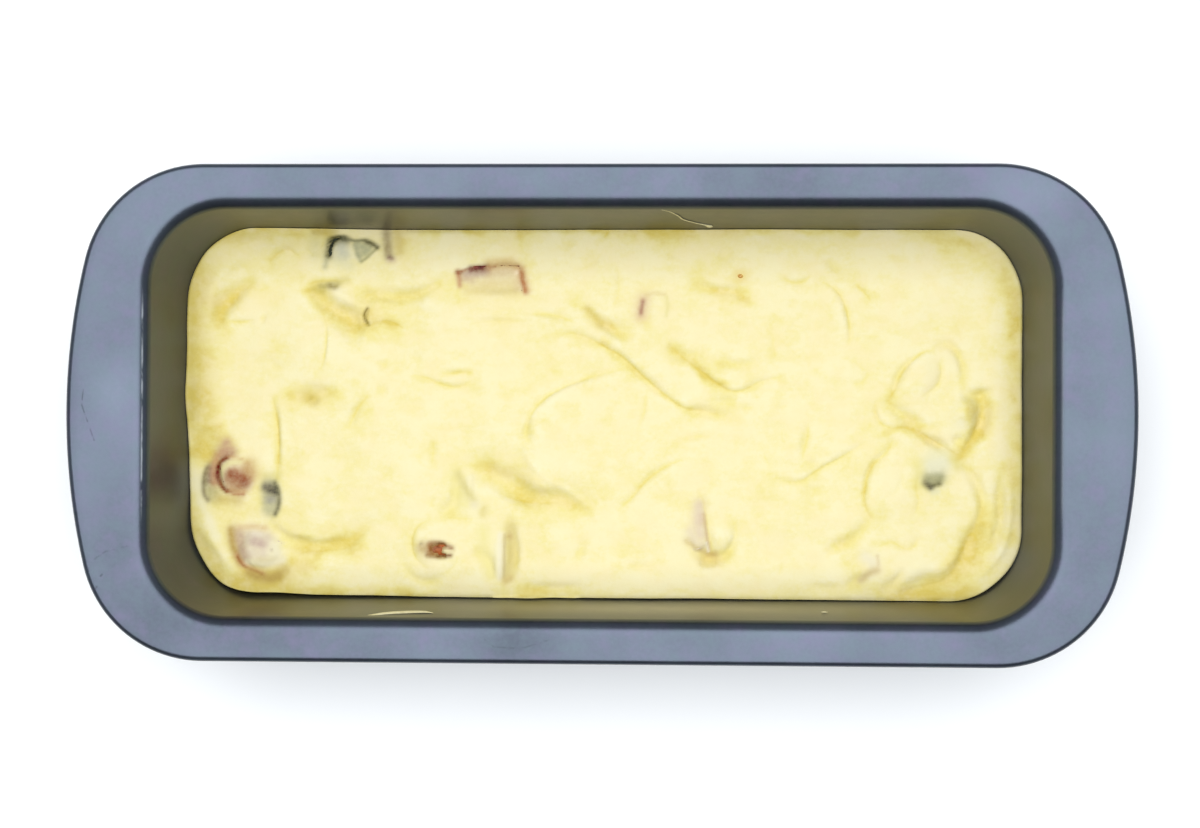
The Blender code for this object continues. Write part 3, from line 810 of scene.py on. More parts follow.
MOUNDS = (
    Mound((-95, 22), (13, 11), 0, 0.5),
    Mound((-10, -4), (10, 12), 0, 0.4),
    Mound((92, 10), (5, 6), 0, 1.0),
    Mound((103.5, 1.5), (3.2, 4.0), -20, 1.6),
    Mound((83, -21), (6, 7), 0, 0.6),
    Mound((34, -34), (3.0, 3.5), 0, 0.6),
    Mound((-48.5, -39), (6.5, 6.5), 0, 0.5),
    Mound((-75, 33.6), (4.2, 1.5), -28, 0.7),
    Mound((3, 37), (4.5, 5.5), 0, 0.25),
    Mound((15, 31), (4, 4.5), 0, 0.4),
    Mound((-7, -46.5), (4, 3), 0, 0.4),
    Mound((106, -39), (5, 9), 20, -0.8),
    Mound((-122, 20), (3.5, 26), 0, 2.4),
    Mound((-120, -45), (7, 9), 40, -2.4),
    Mound((-98, 55), (26, 4.5), 0, 4.0),
    Mound((-116, 49), (8, 8), 0, 2.4),
    Mound((40, 55), (90, 4), 0, 2.2),
    Mound((-122, 4), (3, 9), 0, 2.0),
    Mound((112, 52), (12, 6), -35, 2.4),
)

# Where the batter stands back from the wall, in millimetres: the middle of the place, its
# half-sizes and how far the batter is pushed.
Push = namedtuple("Push", "middle half move")

PUSHES = (
    Push((-99, -54), (13, 6), (0.5, 1.2)),
    Push((-72, -54), (18, 5), (0, 0.5)),
    Push((10, -54), (70, 4), (0, 0.35)),
    Push((114, -50), (8, 8), (-0.3, 0.35)),
    Push((-119, -38), (7, 12), (0.6, 0.25)),
)

CURVE_STEPS = 8


def smooth_curve(path):
    """A smooth curve through the path's points."""
    knots = np.array(path, float)
    if len(knots) == 1:
        return np.vstack([knots, knots + (0.01, 0)])
    knots = np.vstack([2 * knots[0] - knots[1], knots, 2 * knots[-1] - knots[-2]])
    share = np.linspace(0, 1, CURVE_STEPS, endpoint=False)[:, None]
    spans = []
    for a, b, c, d in zip(knots, knots[1:], knots[2:], knots[3:]):
        spans.append(0.5 * (2 * b + (c - a) * share + (2 * a - 5 * b + 4 * c - d) * share ** 2
                            + (3 * b - a - 3 * c + d) * share ** 3))
    return np.vstack([*spans, knots[-2:-1]])


def along_curve(curve, places):
    """For each place: its distance from the curve, which side it is on and how far along."""
    best = np.full(len(places), np.inf)
    side = np.zeros(len(places))
    part = np.zeros(len(places))
    spans = curve[1:] - curve[:-1]
    lengths = np.linalg.norm(spans, axis=1)
    travelled = np.concatenate([[0], np.cumsum(lengths)])
    for start, span, length, done in zip(curve, spans, lengths, travelled):
        reach = places - start
        share = np.clip(reach @ span / length ** 2, 0, 1)
        away = reach - share[:, None] * span
        distance = np.hypot(away[:, 0], away[:, 1])
        nearer = distance < best
        best[nearer] = distance[nearer]
        turn = span[0] * away[:, 1] - span[1] * away[:, 0]
        side[nearer] = np.sign(turn[nearer])
        part[nearer] = (done + share[nearer] * length) / travelled[-1]
    return best, side, part


def add_fold(fold, places, wobble, height):
    """Cut one fold into the heights of the places, in millimetres."""
    curve = smooth_curve(fold.path)
    span = 2.8 * max(fold.width, fold.reach if fold.lip else 0)
    near = np.all((places > curve.min(0) - span) & (places < curve.max(0) + span), axis=1)
    distance, side, part = along_curve(curve, places[near])
    fade = np.sin(math.pi * np.clip(part, 0.0, 1.0)) ** 0.8
    breadth = fold.width * (1 + 0.28 * wobble[near])
    cut = -fold.depth * (1 + 0.2 * wobble[near]) * np.exp(-(distance / breadth) ** 2)
    if fold.lip:
        beside = side * distance * math.copysign(1, fold.lip)
        crest = 0.5 * (1 + np.tanh(beside / 0.45))
        cut += abs(fold.lip) * crest * np.exp(-1.3 * np.maximum(beside, 0) / fold.reach)
    height[near] += fade * cut


def add_mound(mound, places, height):
    """Raise one mound in the heights of the places, in millimetres."""
    angle = math.radians(mound.turn)
    reach = places - np.array(mound.middle)
    x = (reach[:, 0] * math.cos(angle) + reach[:, 1] * math.sin(angle)) / mound.half[0]
    y = (-reach[:, 0] * math.sin(angle) + reach[:, 1] * math.cos(angle)) / mound.half[1]
    height += mound.height * np.exp(-(x * x + y * y))


def pushed(places):
    """The places moved to where the batter stands back from the wall."""
    moved = places.copy()
    for push in PUSHES:
        reach = (places - np.array(push.middle)) / np.array(push.half)
        moved += np.exp(-(reach ** 2).sum(axis=1))[:, None] * np.array(push.move)
    return moved


def ripple(places, length, seed, waves=9):
    """A gentle seeded unevenness whose waves are about length millimetres long."""
    chance = np.random.default_rng(seed)
    total = np.zeros(len(places))
    for _ in range(waves):
        angle = chance.uniform(0, 2 * math.pi)
        number = 2 * math.pi / (length * chance.uniform(0.7, 1.5))
        total += np.sin(number * (places @ (math.cos(angle), math.sin(angle)))
                        + chance.uniform(0, 2 * math.pi))
    return total / math.sqrt(waves)


def stroke_mask(path, width, places, crisp=2.0):
    """1 on a stroke of a half-width and 0 away from it; a higher crisp has a harder edge."""
    curve = smooth_curve(path)
    mask = np.zeros(len(places))
    span = 2.5 * width
    near = np.all((places > curve.min(0) - span) & (places < curve.max(0) + span), axis=1)
    distance, _, _ = along_curve(curve, places[near])
    mask[near] = np.exp(-(distance / width) ** crisp)
    return mask


def swayed(places, amount, length):
    """The places pushed about a little, so that no stroke runs quite true."""
    sway = [amount * (0.8 * ripple(places, length, seed)
                      + 0.3 * ripple(places, length * 0.4, seed + 1)) for seed in (11, 15)]
    return places + np.column_stack(sway)


def relief(places):
    """Height of the batter over its mean level at places in millimetres, without the fruit."""
    height = ripple(places, 42, 3) * 0.28 + ripple(places, 14, 5) * 0.10
    height += ripple(places, 5.5, 7) * 0.035
    height -= 0.5 * np.exp(-(edge_distance(places) / 0.9) ** 2)
    wobble = np.clip(ripple(places, 15, 21), -1.6, 1.6)
    moved = swayed(places, 0.25, 24)
    for fold in FOLDS:
        add_fold(fold, moved, wobble, height)
    for mound in MOUNDS:
        add_mound(mound, places, height)
    return height


def creases(places):
    """Signed distance from the nearest crisp crease in millimetres and how strong it is."""
    moved = swayed(places, 0.25, 24)
    across = np.full(len(places), 9.0)
    share = np.zeros(len(places))
    for fold in FOLDS:
        if fold.width > CREASE_WIDTH or fold.depth < 0:
            continue
        curve = smooth_curve(fold.path)
        near = np.all((moved > curve.min(0) - 3) & (moved < curve.max(0) + 3), axis=1)
        distance, side, part = along_curve(curve, moved[near])
        fade = np.sin(math.pi * np.clip(part, 0.0, 1.0)) ** 0.6
        strength = min(fold.depth, 1.2) * fade * np.clip(1.6 - distance / 1.5, 0, 1)
        signed = side * distance * math.copysign(1, fold.lip or 1)
        stronger = strength > share[near]
        places_near = np.flatnonzero(near)[stronger]
        across[places_near] = signed[stronger]
        share[places_near] = strength[stronger]
    return across, share


CREASE_WIDTH = 1.15

# A tint is a stroke of painted shade in the batter, along valleys, folds, walls and the edges of
# fruit, or of painted light where its gold is below 0; in millimetres: its path, half-width and
# how golden it is.
Tint = namedtuple("Tint", "path width gold")

LEFT_TINTS = (
    Tint(((-121.8, 44), (-121.6, 20), (-121.4, 4)), 5.2, 1.0),
    Tint(((-121.8, 4), (-120.6, -4), (-118.4, -10)), 4.6, 0.60),
    Tint(((-116, 40), (-112.5, 45), (-106, 49)), 3.6, 0.34),
    Tint(((-114.4, 32), (-113.8, 16)), 3.4, 0.30),
    Tint(((-112, -27), (-103, -27.4)), 3.4, 0.34),
    Tint(((-106.4, -11), (-103, -13)), 2.6, 0.26),
    Tint(((-92.5, -21), (-87, -30)), 4.0, 0.20),
    Tint(((-104, -50), (-94, -47.4), (-87, -44)), 2.8, 0.50),
    Tint(((-89, 4), (-82, 3)), 5.0, 0.22),
    Tint(((-72, 6), (-70, 2)), 3.0, 0.22),
    Tint(((-64, 30), (-58, 25)), 4.6, 0.30),
    Tint(((-46, 34.4), (-39, 33.4)), 3.0, 0.26),
    Tint(((-58, 51.6), (-50, 52)), 3.0, 0.34),
    Tint(((-50, 47.4), (0, 47.2), (100, 47.2)), 4.4, -0.10),
    Tint(((-44, 49), (-34, 49.6)), 3.0, -0.06),
    Tint(((-48, -46.6), (0, -46.8), (72, -46.6)), 3.4, -0.09),
    Tint(((-22, -38), (-14, -40)), 4.0, -0.06),
    Tint(((-103, -46), (-95, -46.6), (-88, -43.6)), 3.4, 0.50),
    Tint(((-110, -50.6), (-80, -51.6), (-56, -51.6)), 1.8, 0.40),
    Tint(((-92, 5.6), (-85, 4), (-78, 5)), 3.0, 0.26),
    Tint(((-86.5, 37), (-80.6, 33)), 2.4, 0.30),
    Tint(((-72, 33), (-66, 29.6), (-62, 25.6)), 3.4, 0.26),
    Tint(((-64, 43), (-64, 38)), 2.4, 0.18),
    Tint(((-22.4, -3), (-22.4, -12), (-19, -26)), 3.2, 0.16),
    Tint(((33, 35), (39, 32.6)), 2.4, 0.30),
    Tint(((-27, -24), (-21, -30), (-19, -38)), 5.0, 0.20),
    Tint(((-20.6, -5), (-20, 1), (-16, 6)), 1.2, 0.22),
    Tint(((-115, 8), (-114.6, 0), (-115, -8)), 3.4, 0.35),
    Tint(((-119, 46), (-110, 52.4), (-96, 53.6), (-80, 53)), 3.2, 0.75),
    Tint(((-111, 33), (-105, 36), (-101, 37)), 3.0, 0.49),
    Tint(((-112.5, 30), (-110, 26)), 2.6, 0.38),
    Tint(((-108, 27), (-103, 26.5)), 1.2, 0.17),
    Tint(((-99, 28),), 1.3, 0.16),
    Tint(((-97.5, 44), (-93, 47), (-88, 46)), 1.3, 0.19),
    Tint(((-86, 48), (-84, 46.5)), 1.1, 0.20),
    Tint(((-87, 37), (-80, 37.6), (-74, 38.5)), 1.1, 0.29),
    Tint(((-85.5, 36.4), (-81, 32), (-76, 29), (-69, 28)), 2.6, 0.46),
    Tint(((-79, 27.5), (-74, 26), (-68, 24.5)), 3.8, 0.50),
    Tint(((-72, 29.5), (-66, 30.5)), 2.6, 0.22),
    Tint(((-72, 35), (-60, 34), (-50, 36), (-44, 39)), 2.6, 0.35),
    Tint(((-67, 26.6), (-63, 27), (-59.5, 26)), 1.2, 0.29),
    Tint(((-80.5, 27), (-80.7, 19), (-82, 12.5)), 0.8, 0.16),
    Tint(((-91, 5.5), (-84, 5.6), (-77.5, 7)), 2.0, 0.27),
    Tint(((-85.4, 4.4),), 1.1, 0.45),
    Tint(((-95.2, 4), (-94.9, -8), (-94.7, -19)), 1.5, 0.30),
    Tint(((-64, 14),), 1.6, 0.23),
    Tint(((-64, 6.8),), 1.4, 0.19),
    Tint(((-74, -3), (-72, 1), (-69, 5)), 1.3, 0.13),
    Tint(((-55, 11), (-48, 9.2), (-40, 8.6)), 0.9, 0.24),
    Tint(((-47, 12), (-38, 12.5)), 0.9, 0.20),
    Tint(((-36, 27.6), (-22, 27.4)), 1.0, 0.17),
    Tint(((-20, 28.4), (-9, 27.3)), 1.0, 0.16),
    Tint(((-7, 32), (-3, 29), (1, 25.5)), 1.9, 0.50),
    Tint(((-8, 27), (0, 23)), 3.4, 0.20),
    Tint(((-15, 24), (-7, 22.5), (0, 20)), 1.8, 0.29),
    Tint(((-31, -16), (-24, -20), (-17, -24), (-10, -26)), 4.6, 0.46),
    Tint(((-12, -24.6), (-4, -28)), 2.2, 0.32),
    Tint(((-27, -23.4), (-18, -25)), 1.0, 0.19),
    Tint(((-37, -13), (-30, -16)), 3.0, 0.14),
    Tint(((-49.2, -8), (-49.3, -15)), 1.0, 0.12),
    Tint(((-42, -17), (-42.2, -27), (-46, -30)), 2.0, 0.23),
    Tint(((-50, -30.2), (-40, -30.5)), 1.3, 0.17),
    Tint(((-49, -30.5), (-53, -33), (-55, -37), (-54, -41), (-51, -44.5)), 1.0, 0.22),
    Tint(((-57, -42), (-54, -47), (-48, -48)), 2.0, 0.15),
    Tint(((-27.5, -31), (-26.6, -40), (-28, -49)), 2.0, 0.38),
    Tint(((-36, -40), (-32, -46)), 1.8, 0.23),
    Tint(((-24, -51), (-8, -51.5)), 1.3, 0.17),
    Tint(((-95.5, -29), (-92, -35), (-86, -38), (-78, -38.4), (-70, -36.6)), 3.4, 0.46),
    Tint(((-88, -37), (-80, -37.6), (-74, -36.8)), 4.2, 0.24),
    Tint(((-90, -40), (-72, -40.5)), 2.2, 0.13),
    Tint(((-110, -32), (-108.5, -38), (-106.5, -43), (-102, -47), (-94, -49)), 2.2, 0.38),
    Tint(((-119.8, -26), (-118.2, -34), (-114.6, -41.4), (-109, -47), (-101, -50.6)), 2.8, 0.50),
    Tint(((-120.6, -30), (-118.8, -38), (-113.6, -46), (-107, -50)), 2.0, 0.34),
    Tint(((-119.4, -11), (-115.6, -15)), 2.8, 0.40),
    Tint(((-112, -5), (-109.5, -8)), 2.6, 0.41),
    Tint(((-100, -17), (-99.5, -26)), 2.4, 0.27),
    Tint(((-113, -28), (-106, -29)), 2.4, 0.25),
    Tint(((-95, -51.6), (-72, -51.8), (-48, -52)), 1.4, 0.34),
    Tint(((-5.5, -35), (-7, -44)), 2.0, 0.15),
    Tint(((-58, 50), (-56, 46)), 3.0, 0.29),
    Tint(((-40, 48), (-30, 50.6)), 1.8, 0.13),
    Tint(((-10.5, 49.5),), 2.2, 0.19),
)

RIGHT_TINTS = (
    Tint(((6, 53), (25, 51.6), (38, 53)), 2.4, 0.44),
    Tint(((-60, 53.4), (0, 53.2), (74, 53.2)), 1.5, 0.60),
    Tint(((27, 40), (30, 37), (38, 35.5), (42, 33)), 2.8, 0.42),
    Tint(((18, 32), (13, 28)), 3.0, 0.18),
    Tint(((33, 46), (38, 45.5)), 3.0, 0.26),
    Tint(((48, 48.5), (53, 47)), 2.2, 0.19),
    Tint(((19, 20.5), (24, 17), (30, 11.5), (34, 9)), 1.5, 0.44),
    Tint(((22, 15.5), (33, 15)), 2.6, 0.32),
    Tint(((34, 8), (44, 8), (52, 11)), 1.0, 0.14),
    Tint(((33, 5.5), (37, 3)), 3.4, 0.26),
    Tint(((36, 16), (42, 14.4)), 1.6, 0.20),
    Tint(((0, 20), (10, 12), (22, 3)), 0.8, 0.34),
    Tint(((3, 20.5), (14, 11.5), (22, 5)), 2.4, 0.10),
    Tint(((22, 3), (30, 1), (38, -0.5)), 2.0, 0.32),
    Tint(((30, 3), (38, 4)), 2.0, 0.19),
    Tint(((0, 27), (6, 22.5)), 2.0, 0.44),
    Tint(((12.5, 7), (11.5, 0), (10.5, -5)), 0.9, 0.09),
    Tint(((24, -6.5), (31, -6)), 0.9, 0.14),
    Tint(((5, -28), (10, -21.5), (18, -16), (25, -12.5)), 1.3, 0.16),
    Tint(((33, 15), (44, 16)), 1.3, 0.12),
    Tint(((51, 40), (55, 38.6), (59.5, 40)), 0.9, 0.14),
    Tint(((64, 45), (68, 42)), 1.2, 0.12),
    Tint(((73, 38), (77, 33.5)), 1.2, 0.16),
    Tint(((63, 39), (69, 34), (71, 26), (71.4, 22)), 0.9, 0.17),
    Tint(((59, -2), (58, -13)), 1.2, 0.14),
    Tint(((50, -18), (58, -19), (63, -15.5)), 1.0, 0.19),
    Tint(((60, -14.5),), 1.6, 0.21),
    Tint(((82, 4), (85, 11), (90, 17), (95, 19)), 1.2, 0.19),
    Tint(((96, 19.6), (101, 20), (104, 14), (104, 9)), 1.4, 0.29),
    Tint(((82.5, 4), (88, -0.5), (96, -4)), 2.0, 0.34),
    Tint(((97.5, 14), (96, 9)), 1.2, 0.14),
    Tint(((106, 1.6), (111, 3.0), (109.8, -2), (107, -7), (103, -11)), 3.0, 0.62),
    Tint(((78.8, 4), (79, -1)), 0.9, 0.19),
    Tint(((81, -4), (89, -4), (96, -8), (103, -11.5)), 1.7, 0.50),
    Tint(((103, -12), (108, -19), (109, -26)), 1.3, 0.19),
    Tint(((110, -27), (108, -34), (104.4, -40), (100, -46), (93, -49.6), (84, -51.4)), 3.0, 0.52),
    Tint(((119, -26), (118, -35)), 2.8, 0.42),
    Tint(((103, -41), (100.6, -47.6)), 3.6, 0.34),
    Tint(((108, -50), (98, -51.6), (88, -52)), 2.2, 0.50),
    Tint(((93, -22), (98, -24)), 3.4, 0.20),
    Tint(((109, -34), (108, -46)), 3.6, 0.34),
    Tint(((114.6, -15), (113.8, -25), (112, -36)), 1.6, 0.36),
    Tint(((85, -8), (79, -12), (76, -20), (77, -28)), 1.1, 0.22),
    Tint(((76, -29), (73, -35), (66, -38)), 2.0, 0.25),
    Tint(((72, -34), (74, -48)), 3.4, 0.23),
    Tint(((80, -36.5), (87, -38), (92, -35)), 1.2, 0.17),
    Tint(((84, -44), (80, -50)), 1.6, 0.19),
    Tint(((91, -16), (91, -26)), 1.6, 0.17),
    Tint(((118.8, 34), (118.6, 14), (118.6, -6), (118.6, -20)), 2.8, 0.62),
    Tint(((97, -1), (100, 1)), 2.4, 0.14),
    Tint(((88, 53), (100, 51.2), (108, 48.4), (114, 43), (117.8, 35)), 2.8, 0.50),
    Tint(((99, 47), (106, 45)), 2.0, 0.16),
    Tint(((118.5, -24), (117, -36), (112, -44), (104, -50)), 1.2, 0.14),
    Tint(((-24, -51.8), (20, -52), (62, -52)), 1.2, 0.22),
    Tint(((80, -51), (94, -51.8), (107, -51)), 2.0, 0.40),
    Tint(((108.8, -1), (105.6, -7)), 3.4, 0.22),
    Tint(((85, 46), (90, 44.6)), 1.6, 0.18),
    Tint(((97, 50), (106, 49.4)), 1.8, 0.26),
    Tint(((101, 44), (105, 41)), 1.4, 0.15),
    Tint(((80, 49), (84, 46)), 1.3, 0.12),
    Tint(((92, 41), (96, 39)), 1.0, 0.12),
    Tint(((72, -41), (76, -46)), 2.6, 0.24),
    Tint(((107, -38), (105.6, -46)), 2.2, 0.22),
    Tint(((30, -42.5), (34, -41.5)), 3.0, 0.38),
    Tint(((37, -35), (36.4, -40)), 1.8, 0.21),
    Tint(((8, -43.5), (14, -43.8)), 1.2, 0.10),
)

TINTS = LEFT_TINTS + RIGHT_TINTS


# ---------------------------------------------------------------- candied fruit
# A lump is a piece of candied fruit, in millimetres: its middle, half-sizes, turn in degrees,
# how far its top stands over the batter's level, how its top leans (rise per millimetre along
# X and Y), how round it is, how much it narrows along its own X, and how crumpled it is.
Lump = namedtuple("Lump", "name slot middle half turn top lean round taper crumple")

LUMPS = (
    Lump("fruit_green_lobed", "fruit_green", (-73.6, 48.0), (7.2, 3.4, 3.6), -4, 0.5,
         (0, 0), 0.55, -0.45, 0.5),
    Lump("fruit_green_small", "fruit_green", (-79.4, 37.2), (2.7, 1.3, 2.2), 3, 0.1,
         (0, 0), 0.8, 0, 0.4),
    Lump("fruit_green_dark", "fruit_green", (-96.6, -24.0), (2.7, 4.6, 3.4), -6, 0.5,
         (0, 0), 0.8, 0, 0.4),
    Lump("fruit_green_sunk", "fruit_green", (95.8, -16.8), (4.0, 3.8, 3.2), 12, 0.4,
         (0, 0.02), 0.7, 0, 0.6),
    Lump("fruit_green_grey", "fruit_green", (-38.6, -22.4), (1.5, 5.6, 3.0), 28, 0.3,
         (0, 0), 0.7, 0, 0.4),
    Lump("fruit_purple_streak", "fruit_purple", (-62.6, 48.4), (1.3, 3.6, 2.8), 8, 0.6,
         (0, 0), 0.7, 0, 0.4),
    Lump("fruit_purple_round", "fruit_purple", (14.4, 31.0), (4.0, 4.4, 3.8), 0, 0.5,
         (0, 0), 0.85, 0, 0.3),
    Lump("fruit_violet", "fruit_purple", (-115.4, -21.3), (1.5, 4.8, 3.2), -8, 0.3,
         (0, 0), 0.8, 0, 0.3),
    Lump("fruit_red_slab", "fruit_red", (-32.4, 39.4), (9.6, 4.2, 3.6), 3, 0.7,
         (0, 0.03), 0.22, 0, 0.35),
    Lump("fruit_cherry", "fruit_red", (-107.2, -16.8), (5.2, 6.6, 5.0), 10, 1.6,
         (0.02, 0), 0.6, 0, 0.6),
    Lump("fruit_red_brown", "fruit_brown_red", (-48.4, -39.4), (4.7, 2.5, 3.2), 2, 0.1,
         (0, 0), 0.7, 0, 0.5),
    Lump("fruit_pink_lump", "fruit_pink", (-99.8, -39.8), (6.8, 5.6, 4.8), -24, 1.5,
         (0, 0), 0.6, 0, 0.6),
    Lump("fruit_pink_pale", "fruit_pink", (76.2, -43.4), (3.7, 4.0, 3.4), 10, 0.6,
         (0, 0), 0.7, 0, 0.5),
    Lump("fruit_lilac_wedge", "fruit_pink", (28.3, -33.0), (3.0, 6.6, 3.8), 12, 0.45,
         (0, 0), 0.5, 0, 0.4),
    Lump("fruit_pale_slab", "fruit_pale", (-30.0, -41.5), (1.5, 6.6, 4.0), 2, 0.45,
         (0, 0), 0.3, 0, 0.3),
)
LUMP_CUTS = 13

# Where fruit shows: strokes, in millimetres, along which the batter has run off a piece, and
# strokes of batter that lie across it again.
Window = namedtuple("Window", "name bare covered", defaults=((),))

WINDOWS = (
    Window("fruit_green_lobed", (
        (((-80.1, 46.4), (-79.8, 48.2), (-79.3, 49.6)), 0.5),
        (((-78.8, 50.6), (-77.4, 51.1)), 0.4),
    )),
    Window("fruit_red_slab", (
        (((-37.2, 42.5), (-35.0, 42.7)), 0.4),
    )),
    Window("fruit_red_brown", (
        (((-48.4, -39.4), (-47.6, -39.4)), 1.2),
        (((-47.4, -38.2), (-46.0, -38.3)), 0.5),
        (((-47.4, -40.9), (-46.0, -41.0)), 0.5),
    ), (
        (((-45.6, -39.7), (-43.6, -39.9)), 0.4),
    )),
)


class LOAF_OT_add_fruit(bpy.types.Operator):
    """Add every piece of candied fruit that shows in the batter"""

    bl_idname = "loaf.add_fruit"
    bl_label = "Candied fruit"

    def execute(self, context):
        settings = context.scene.fruit_loaf
        fruit = settings.fruit
        colours = {"fruit_green": fruit.green, "fruit_purple": fruit.purple,
                   "fruit_red": fruit.red, "fruit_brown_red": fruit.brown_red,
                   "fruit_pink": fruit.pink, "fruit_pale": fruit.pale}
        finishes = {slot: fruit_finish(slot, colour, fruit.roughness)
                    for slot, colour in colours.items()}
        for lump in LUMPS:
            obj = add_lump(lump, settings.batter.level)
            paint_stains(obj, FRUIT_STAINS.get(lump.name, ()))
            finish_piece(obj, finishes[lump.slot], [lump.name], smooth=60)
        return {"FINISHED"}


def add_lump(lump, level):
    """One piece of fruit: a cut block, rounded, narrowed, leaned and crumpled."""
    half = [size * MM for size in lump.half]
    middle = (lump.middle[0] * MM, lump.middle[1] * MM, level + lump.top * MM - half[2])
    deselect_first()
    bpy.ops.mesh.primitive_cube_add(
        size=2, location=middle, rotation=(0, 0, math.radians(lump.turn)))
    obj = start_piece(lump.name + "_piece")
    bpy.ops.object.mode_set(mode="EDIT")
    bpy.ops.mesh.select_all(action="SELECT")
    bpy.ops.mesh.subdivide(number_cuts=LUMP_CUTS)
    bpy.ops.transform.tosphere(value=lump.round)
    body = bmesh.from_edit_mesh(obj.data)
    reach = max(abs(point.co.x) for point in body.verts)
    bpy.ops.transform.resize(value=[size / reach for size in half], center_override=middle)
    bpy.ops.object.mode_set(mode="OBJECT")
    if lump.taper:
        narrow = obj.modifiers.new("narrow", "SIMPLE_DEFORM")
        narrow.deform_method = "TAPER"
        narrow.deform_axis = "X"
        narrow.factor = lump.taper
    soft = obj.modifiers.new("soft", "SUBSURF")
    soft.levels = 1
    soft.render_levels = 1
    apply_modifiers(obj)
    apply_place(obj)
    for point in obj.data.vertices:
        rise = (point.co.x - middle[0]) * lump.lean[0] + (point.co.y - middle[1]) * lump.lean[1]
        point.co.z += rise
    clouds = bpy.data.textures.new(lump.name, "CLOUDS")
    clouds.noise_scale = 2.6 * MM
    clouds.noise_depth = 2
    crumple = obj.modifiers.new("crumple", "DISPLACE")
    crumple.texture = clouds
    crumple.texture_coords = "LOCAL"
    crumple.strength = lump.crumple * 1.6 * MM
    crumple.mid_level = 0.62
    apply_modifiers(obj)
    return obj


def fruit_finish(slot, colour, roughness):
    """Syrupy candied fruit: mottled flesh and a film of batter where painted."""
    finish = Finish(slot)
    mottle = finish.noise(2.2 * MM, 4.0, 0.6)
    fine = finish.noise(0.7 * MM, 3.0, 0.6)
    dark = tuple(c * 0.55 for c in colour)
    light = tuple(min(1.0, c * 1.5 + 0.01) for c in colour)
    flesh = finish.mix((mottle * 0.7 + fine * 0.3).rise(0.32, 0.68), dark, light)
    share = finish.attribute("stain_share")
    film = finish.attribute("stain", "Color")
    base = finish.mix(share, flesh, film)
    rough = roughness + (fine - 0.5) * 0.2 + share * 0.12
    return finish.surface(
        Base_Color=base, Roughness=rough, IOR=1.45, Specular_IOR_Level=0.15,
        Normal=finish.bump(mottle * 0.6 + fine * 0.4, 0.35, 0.35 * MM))


# ---------------------------------------------------------------- stains
# A stain is colour laid on in a stroke: where fruit shows through a film of batter, or batter
# lies thin on fruit; on the batter, some stains are painted shade, shadows and highlights beside
# the pieces and in creases.  The path and half-width are in millimetres, the colour is a display one.
Stain = namedtuple("Stain", "path width colour share crisp", defaults=(2.0,))

FRUIT_STAINS = {
    "fruit_red_brown": (
        Stain(((-51.4, -39.6), (-50.4, -38.8)), 1.3, (160, 128, 88), 0.8),
        Stain(((-50.0, -41.0), (-48.6, -41.2)), 0.8, (128, 96, 48), 0.7),
        Stain(((-47.4, -40.2),), 0.9, (182, 108, 72), 0.6),
    ),
    "fruit_red_slab": (
        Stain(((-38.6, 42.2),), 0.9, (160, 96, 66), 0.7),
    ),
}

